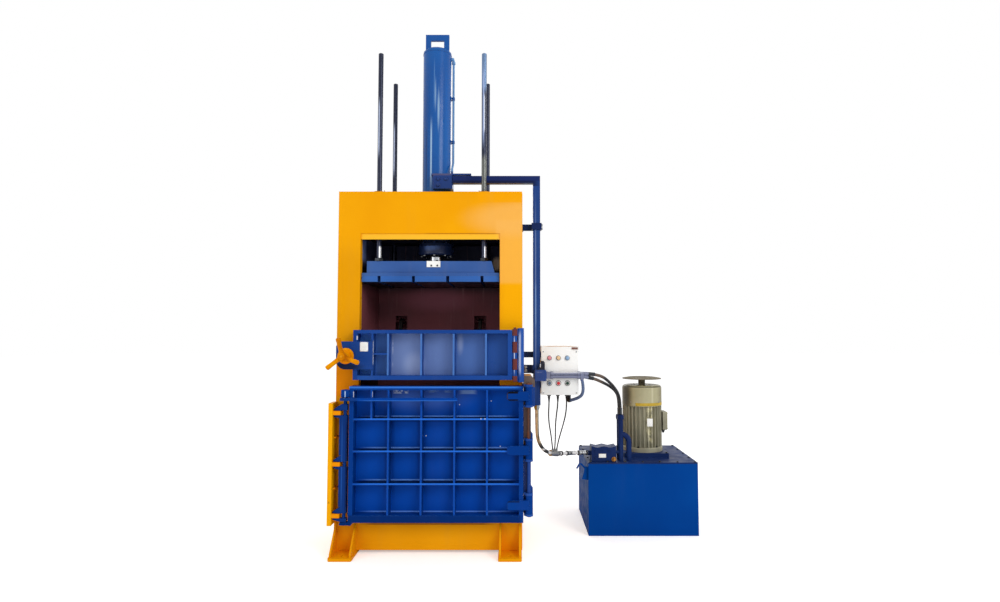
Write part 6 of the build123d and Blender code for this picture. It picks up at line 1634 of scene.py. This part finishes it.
@dataclass
class Controls:
    """Trim of the control box: bezels, screws and the arm pipes' nuts."""

    finishes: Finishes
    front: float = -0.170
    lamp_x: tuple = (0.802, 0.863, 0.924)
    lamp_z: float = 1.260
    button_z: float = 1.088
    screw_x: tuple = (0.760, 0.986)
    screw_z: tuple = (1.022, 1.302)
    arm_y: float = -0.195
    arm_z: tuple = (1.155, 1.133)
    nut_x: tuple = (0.806, 0.990)

    def build(self) -> None:
        """Builds the box's trim."""
        f = self.finishes
        lamps = turned("lamp_bezels", ((0.0172, 0.0), (0.0176, 0.001), (0.0172, 0.0035),
                                       (0.0150, 0.0045), (0.0133, 0.0040), (0.0131, 0.0)), 32)
        hand_over(spread(lamps, [aim((x, self.front, self.lamp_z), FRONT)
                                 for x in self.lamp_x]), f.zinc)
        buttons = turned("button_bezels", ((0.0180, 0.0), (0.0184, 0.001), (0.0180, 0.0030),
                                           (0.0164, 0.0040), (0.0153, 0.0036), (0.0151, 0.0)), 32)
        hand_over(spread(buttons, [aim((x, self.front, self.button_z), FRONT)
                                   for x in self.lamp_x]), f.black)
        places = [aim((x, self.front, z), FRONT) for x in self.screw_x for z in self.screw_z]
        hand_over(spread(socket_screw("cover_screws", 0.0048, 0.0034), places), f.zinc)
        nut = turned("arm_nuts", ((0.0125, 0.0), (0.0148, 0.001), (0.0148, 0.017),
                                  (0.0125, 0.019), (0.0108, 0.019)), 6)
        places = [aim((x, self.arm_y, z), RIGHT) for z in self.arm_z for x in self.nut_x]
        hand_over(spread(nut, places), f.block_blue)


@dataclass
class PowerPack:
    """Trim of the tank, motor and valve block."""

    finishes: Finishes
    tank_x: tuple = (1.086, 1.864)
    tank_y: tuple = (0.024, 0.684)
    lid_inset: float = 0.016
    lid_top: float = 0.512
    motor: tuple = (1.539, 0.355)
    seat_top: float = 0.544
    seat_bolt_off: float = 0.148
    flange_z: float = 0.578
    cover_r: float = 0.1475
    band_z: float = 0.897
    cover_screw_z: float = 0.912
    terminal_lid: Box = ((1.7145, 0.302, 0.699), (1.7215, 0.408, 0.831))
    lid_screw_in: float = 0.009
    terminal_gland: Spot = (1.700, 0.355, 0.697)
    motor_plate: Box = ((1.546, 0.2062, 0.737), (1.588, 0.2092, 0.795))
    valve_plate: Box = ((1.165, 0.0484, 0.541), (1.216, 0.0500, 0.568))
    valve_front: float = 0.050
    fitting: tuple = (1.272, 0.530)
    plug_spots: tuple = ((1.140, 0.590), (1.190, 0.592), (1.240, 0.592), (1.140, 0.545))
    risers: tuple[Spot, ...] = ((1.329, 0.095, 0.808), (1.329, 0.150, 0.803))
    breather: tuple = (1.600, 0.610)

    def lid_bolts(self) -> Piece:
        """Hexagon bolts along the lid's edge."""
        x0, x1 = self.tank_x[0] + self.lid_inset, self.tank_x[1] - self.lid_inset
        y0, y1 = self.tank_y[0] + self.lid_inset, self.tank_y[1] - self.lid_inset
        spots = [(x0 + (x1 - x0) * i / 6, y) for i in range(7) for y in (y0, y1)]
        spots += [(x, y0 + (y1 - y0) * i / 4) for i in (1, 2, 3) for x in (x0, x1)]
        return spread(hex_bolt("lid_bolts", 0.0075, 0.0055, 0.0014),
                      [aim((x, y, self.lid_top), UP, x + y) for x, y in spots])

    def motor_bolts(self) -> Piece:
        """Bolts of the motor's flange and of the seat."""
        x, y = self.motor
        places = ring_places((x, y, self.flange_z), 0.1365, 6, first=math.radians(6.0))
        offs = (-self.seat_bolt_off, self.seat_bolt_off)
        places += [aim((x + dx, y + dy, self.seat_top), UP) for dx in offs for dy in offs]
        return spread(hex_bolt("motor_bolts", 0.0082, 0.0065, 0.0015), places)

    def terminal_trim(self) -> None:
        """Lid of the terminal box with its screws and cable gland."""
        f = self.finishes
        hand_over(bar("terminal_lid", *self.terminal_lid, 0.003, 3), f.motor_cover)
        (_, y0, z0), (face, y1, z1) = self.terminal_lid
        inset = self.lid_screw_in
        places = [aim((face, y, z), RIGHT) for y in (y0 + inset, y1 - inset)
                  for z in (z0 + inset, z1 - inset)]
        hand_over(spread(socket_screw("terminal_screws", 0.004, 0.003), places), f.zinc)
        gland = turned("terminal_gland", ((0.012, 0.0), (0.0135, -0.001), (0.0135, -0.012),
                                          (0.010, -0.014), (0.0095, -0.026), (0.006, -0.028)), 6)
        hand_over(stand(gland, self.terminal_gland, UP), f.black)

    def cover_band(self) -> Piece:
        """Thin painted band round the right front of the fan cover's foot."""
        lay_down()
        bpy.ops.mesh.primitive_cylinder_add(vertices=96, radius=self.cover_r + 0.0008,
                                            depth=0.022, end_fill_type="NOTHING",
                                            location=(*self.motor, self.band_z))
        band = bpy.context.object
        band.name = "cover_band"
        bpy.ops.object.mode_set(mode="EDIT")
        pick_faces(band, lambda centre: not (centre.y < 0.0 and centre.x > -0.075))
        bpy.ops.mesh.delete(type="FACE")
        bpy.ops.object.mode_set(mode="OBJECT")
        fix_place(band)
        wall = band.modifiers.new("wall", "SOLIDIFY")
        wall.thickness = 0.0008
        wall.offset = -1.0
        return settle(band, wall)

    def valve_trim(self) -> None:
        """The bare plate, fittings and plugs on the valve block, and the risers' nuts."""
        f = self.finishes
        hand_over(bar("valve_blank_plate", *self.valve_plate, 0.0005), f.plate)
        x, z = self.fitting
        stub = turned("valve_stub", ((0.008, 0.0), (0.008, 0.012), (0.0095, 0.013),
                                     (0.0095, 0.020), (0.007, 0.022)), 16)
        nut = hex_bolt("valve_fitting", 0.0135, 0.012, 0.003)
        pieces = [stand(nut, (x, self.valve_front, z), FRONT),
                  stand(stub, (x, self.valve_front - 0.012, z), FRONT)]
        hand_over(merge("valve_fittings", pieces), f.brass)
        places = [aim((px, self.valve_front, pz), FRONT) for px, pz in self.plug_spots]
        hand_over(spread(socket_screw("valve_plugs", 0.0105, 0.004), places), f.navy)
        nut = turned("riser_nuts", ((0.0232, 0.0), (0.0262, 0.0015), (0.0262, 0.022),
                                    (0.0232, 0.0245), (0.0195, 0.0245)), 6)
        hand_over(spread(nut, [aim(riser, UP) for riser in self.risers]), f.navy)

    def build(self) -> None:
        """Builds the power pack's trim."""
        f = self.finishes
        hand_over(self.lid_bolts(), f.dark_steel)
        hand_over(self.motor_bolts(), f.dark_steel)
        self.terminal_trim()
        hand_over(self.cover_band(), f.marker)
        middle = Vector((*self.motor, self.cover_screw_z))
        screws = []
        for degrees in (45.0, 135.0, 225.0, 315.0):
            angle = math.radians(degrees)
            out = Vector((math.cos(angle), math.sin(angle), 0.0))
            screws.append(aim(middle + out * (self.cover_r - 0.0004), out))
        hand_over(spread(socket_screw("fan_cover_screws", 0.0052, 0.0038), screws), f.zinc)
        hand_over(bar("motor_blank_plate", *self.motor_plate, 0.0006), f.plate)
        self.valve_trim()
        breather = turned("filler_breather", ((0.034, 0.0), (0.036, 0.002), (0.036, 0.010),
                                              (0.022, 0.012), (0.022, 0.040), (0.036, 0.043),
                                              (0.040, 0.048), (0.040, 0.078), (0.037, 0.084),
                                              (0.028, 0.088)), 36)
        hand_over(stand(breather, (*self.breather, self.lid_top), UP), f.black)


@dataclass(frozen=True)
class Lamp:
    """One large soft lamp: where it stands, what it looks at, its size and power."""

    name: str
    at: Spot
    look: Spot
    size: float
    power: float

    def hang(self) -> None:
        """Adds the lamp to the scene."""
        data = bpy.data.lights.new(self.name, "AREA")
        data.shape = "SQUARE"
        data.size = self.size
        data.energy = self.power
        lamp = bpy.data.objects.new(self.name, data)
        lamp.location = self.at
        way = Vector(self.look) - Vector(self.at)
        lamp.rotation_euler = way.to_track_quat("-Z", "Y").to_euler()
        bpy.context.collection.objects.link(lamp)


@dataclass
class Studio:
    """White surroundings, pale floor, soft lamps and the photograph's camera."""

    eye: Spot = (0.573, -4.325, 1.430)
    pitch: float = 93.03
    lens: float = 21.78
    shift_x: float = -0.016
    sky: float = 0.72
    floor_lift: float = 0.42
    lamps: tuple[Lamp, ...] = (
        Lamp("key", (4.2, -4.6, 4.4), (0.5, -0.2, 1.3), 2.4, 125.0),
        Lamp("fill", (-4.4, -3.8, 2.6), (0.3, -0.2, 1.4), 2.6, 40.0),
        Lamp("back", (0.8, 4.6, 3.8), (0.5, 0.2, 1.4), 3.0, 50.0),
    )

    def camera(self) -> None:
        """Places the camera as it stood in the photograph."""
        data = bpy.data.cameras.new("view")
        data.lens = self.lens
        data.sensor_width = 36.0
        data.shift_x = self.shift_x
        view = bpy.data.objects.new("view", data)
        view.location = self.eye
        view.rotation_euler = (math.radians(self.pitch), 0.0, 0.0)
        bpy.context.collection.objects.link(view)
        bpy.context.scene.camera = view

    def surroundings(self) -> None:
        """White to the camera and in reflections, a little lower as light."""
        world = bpy.data.worlds.new("white_room")
        world.use_nodes = True
        nodes, links = world.node_tree.nodes, world.node_tree.links
        ground = nodes["Background"]
        path = nodes.new("ShaderNodeLightPath")
        seen = path.outputs["Is Camera Ray"]
        for ray in ("Is Glossy Ray", "Is Transmission Ray"):
            either = nodes.new("ShaderNodeMath")
            either.operation = "MAXIMUM"
            links.new(seen, either.inputs[0])
            links.new(path.outputs[ray], either.inputs[1])
            seen = either.outputs[0]
        level = nodes.new("ShaderNodeMapRange")
        links.new(seen, level.inputs["Value"])
        level.inputs["To Min"].default_value = self.sky
        level.inputs["To Max"].default_value = 1.0
        ground.inputs["Color"].default_value = WHITE
        links.new(level.outputs[0], ground.inputs["Strength"])
        bpy.context.scene.world = world

    def floor(self) -> None:
        """A large pale floor that keeps the press's shadow."""
        lay_down()
        bpy.ops.mesh.primitive_plane_add(size=60.0, location=(0.6, 8.0, 0.0))
        ground = fix_place(bpy.context.object)
        ground.name = "studio_floor"
        shade = Shade("studio_white")
        colour = shade.ramp(shade.noise(0.8, 3.0), [(0.3, "#f4f4f4"), (0.7, "#f8f8f8")])
        normal = shade.relief(shade.noise(60.0, 2.0), 0.0004, 0.1)
        shade.close(colour, 0.9, normal, Specular_IOR_Level=0.0)
        path = shade.node("ShaderNodeLightPath")
        lift = shade.work("MULTIPLY", path.outputs["Is Camera Ray"], self.floor_lift)
        shade.feed(shade.shader.inputs["Emission Strength"], lift)
        shade.shader.inputs["Emission Color"].default_value = WHITE
        ground.data.materials.append(shade.material)

    def build(self) -> None:
        """Builds the whole studio."""
        bpy.context.scene.view_settings.view_transform = "Standard"
        self.camera()
        self.surroundings()
        self.floor()
        for lamp in self.lamps:
            lamp.hang()
        log.info("studio ready")


def main() -> None:
    """Builds the studio, the cords and each sub-assembly in order."""
    logging.basicConfig(level=logging.INFO, format="%(message)s")
    Studio().build()
    finishes = Finishes()
    finishes.dress_nodes()
    for part in (Cords, PressFrame, Doors, Hydraulics, Controls, PowerPack):
        log.info("building %s", part.__name__)
        part(finishes).build()


if __name__ == "__main__":
    main()
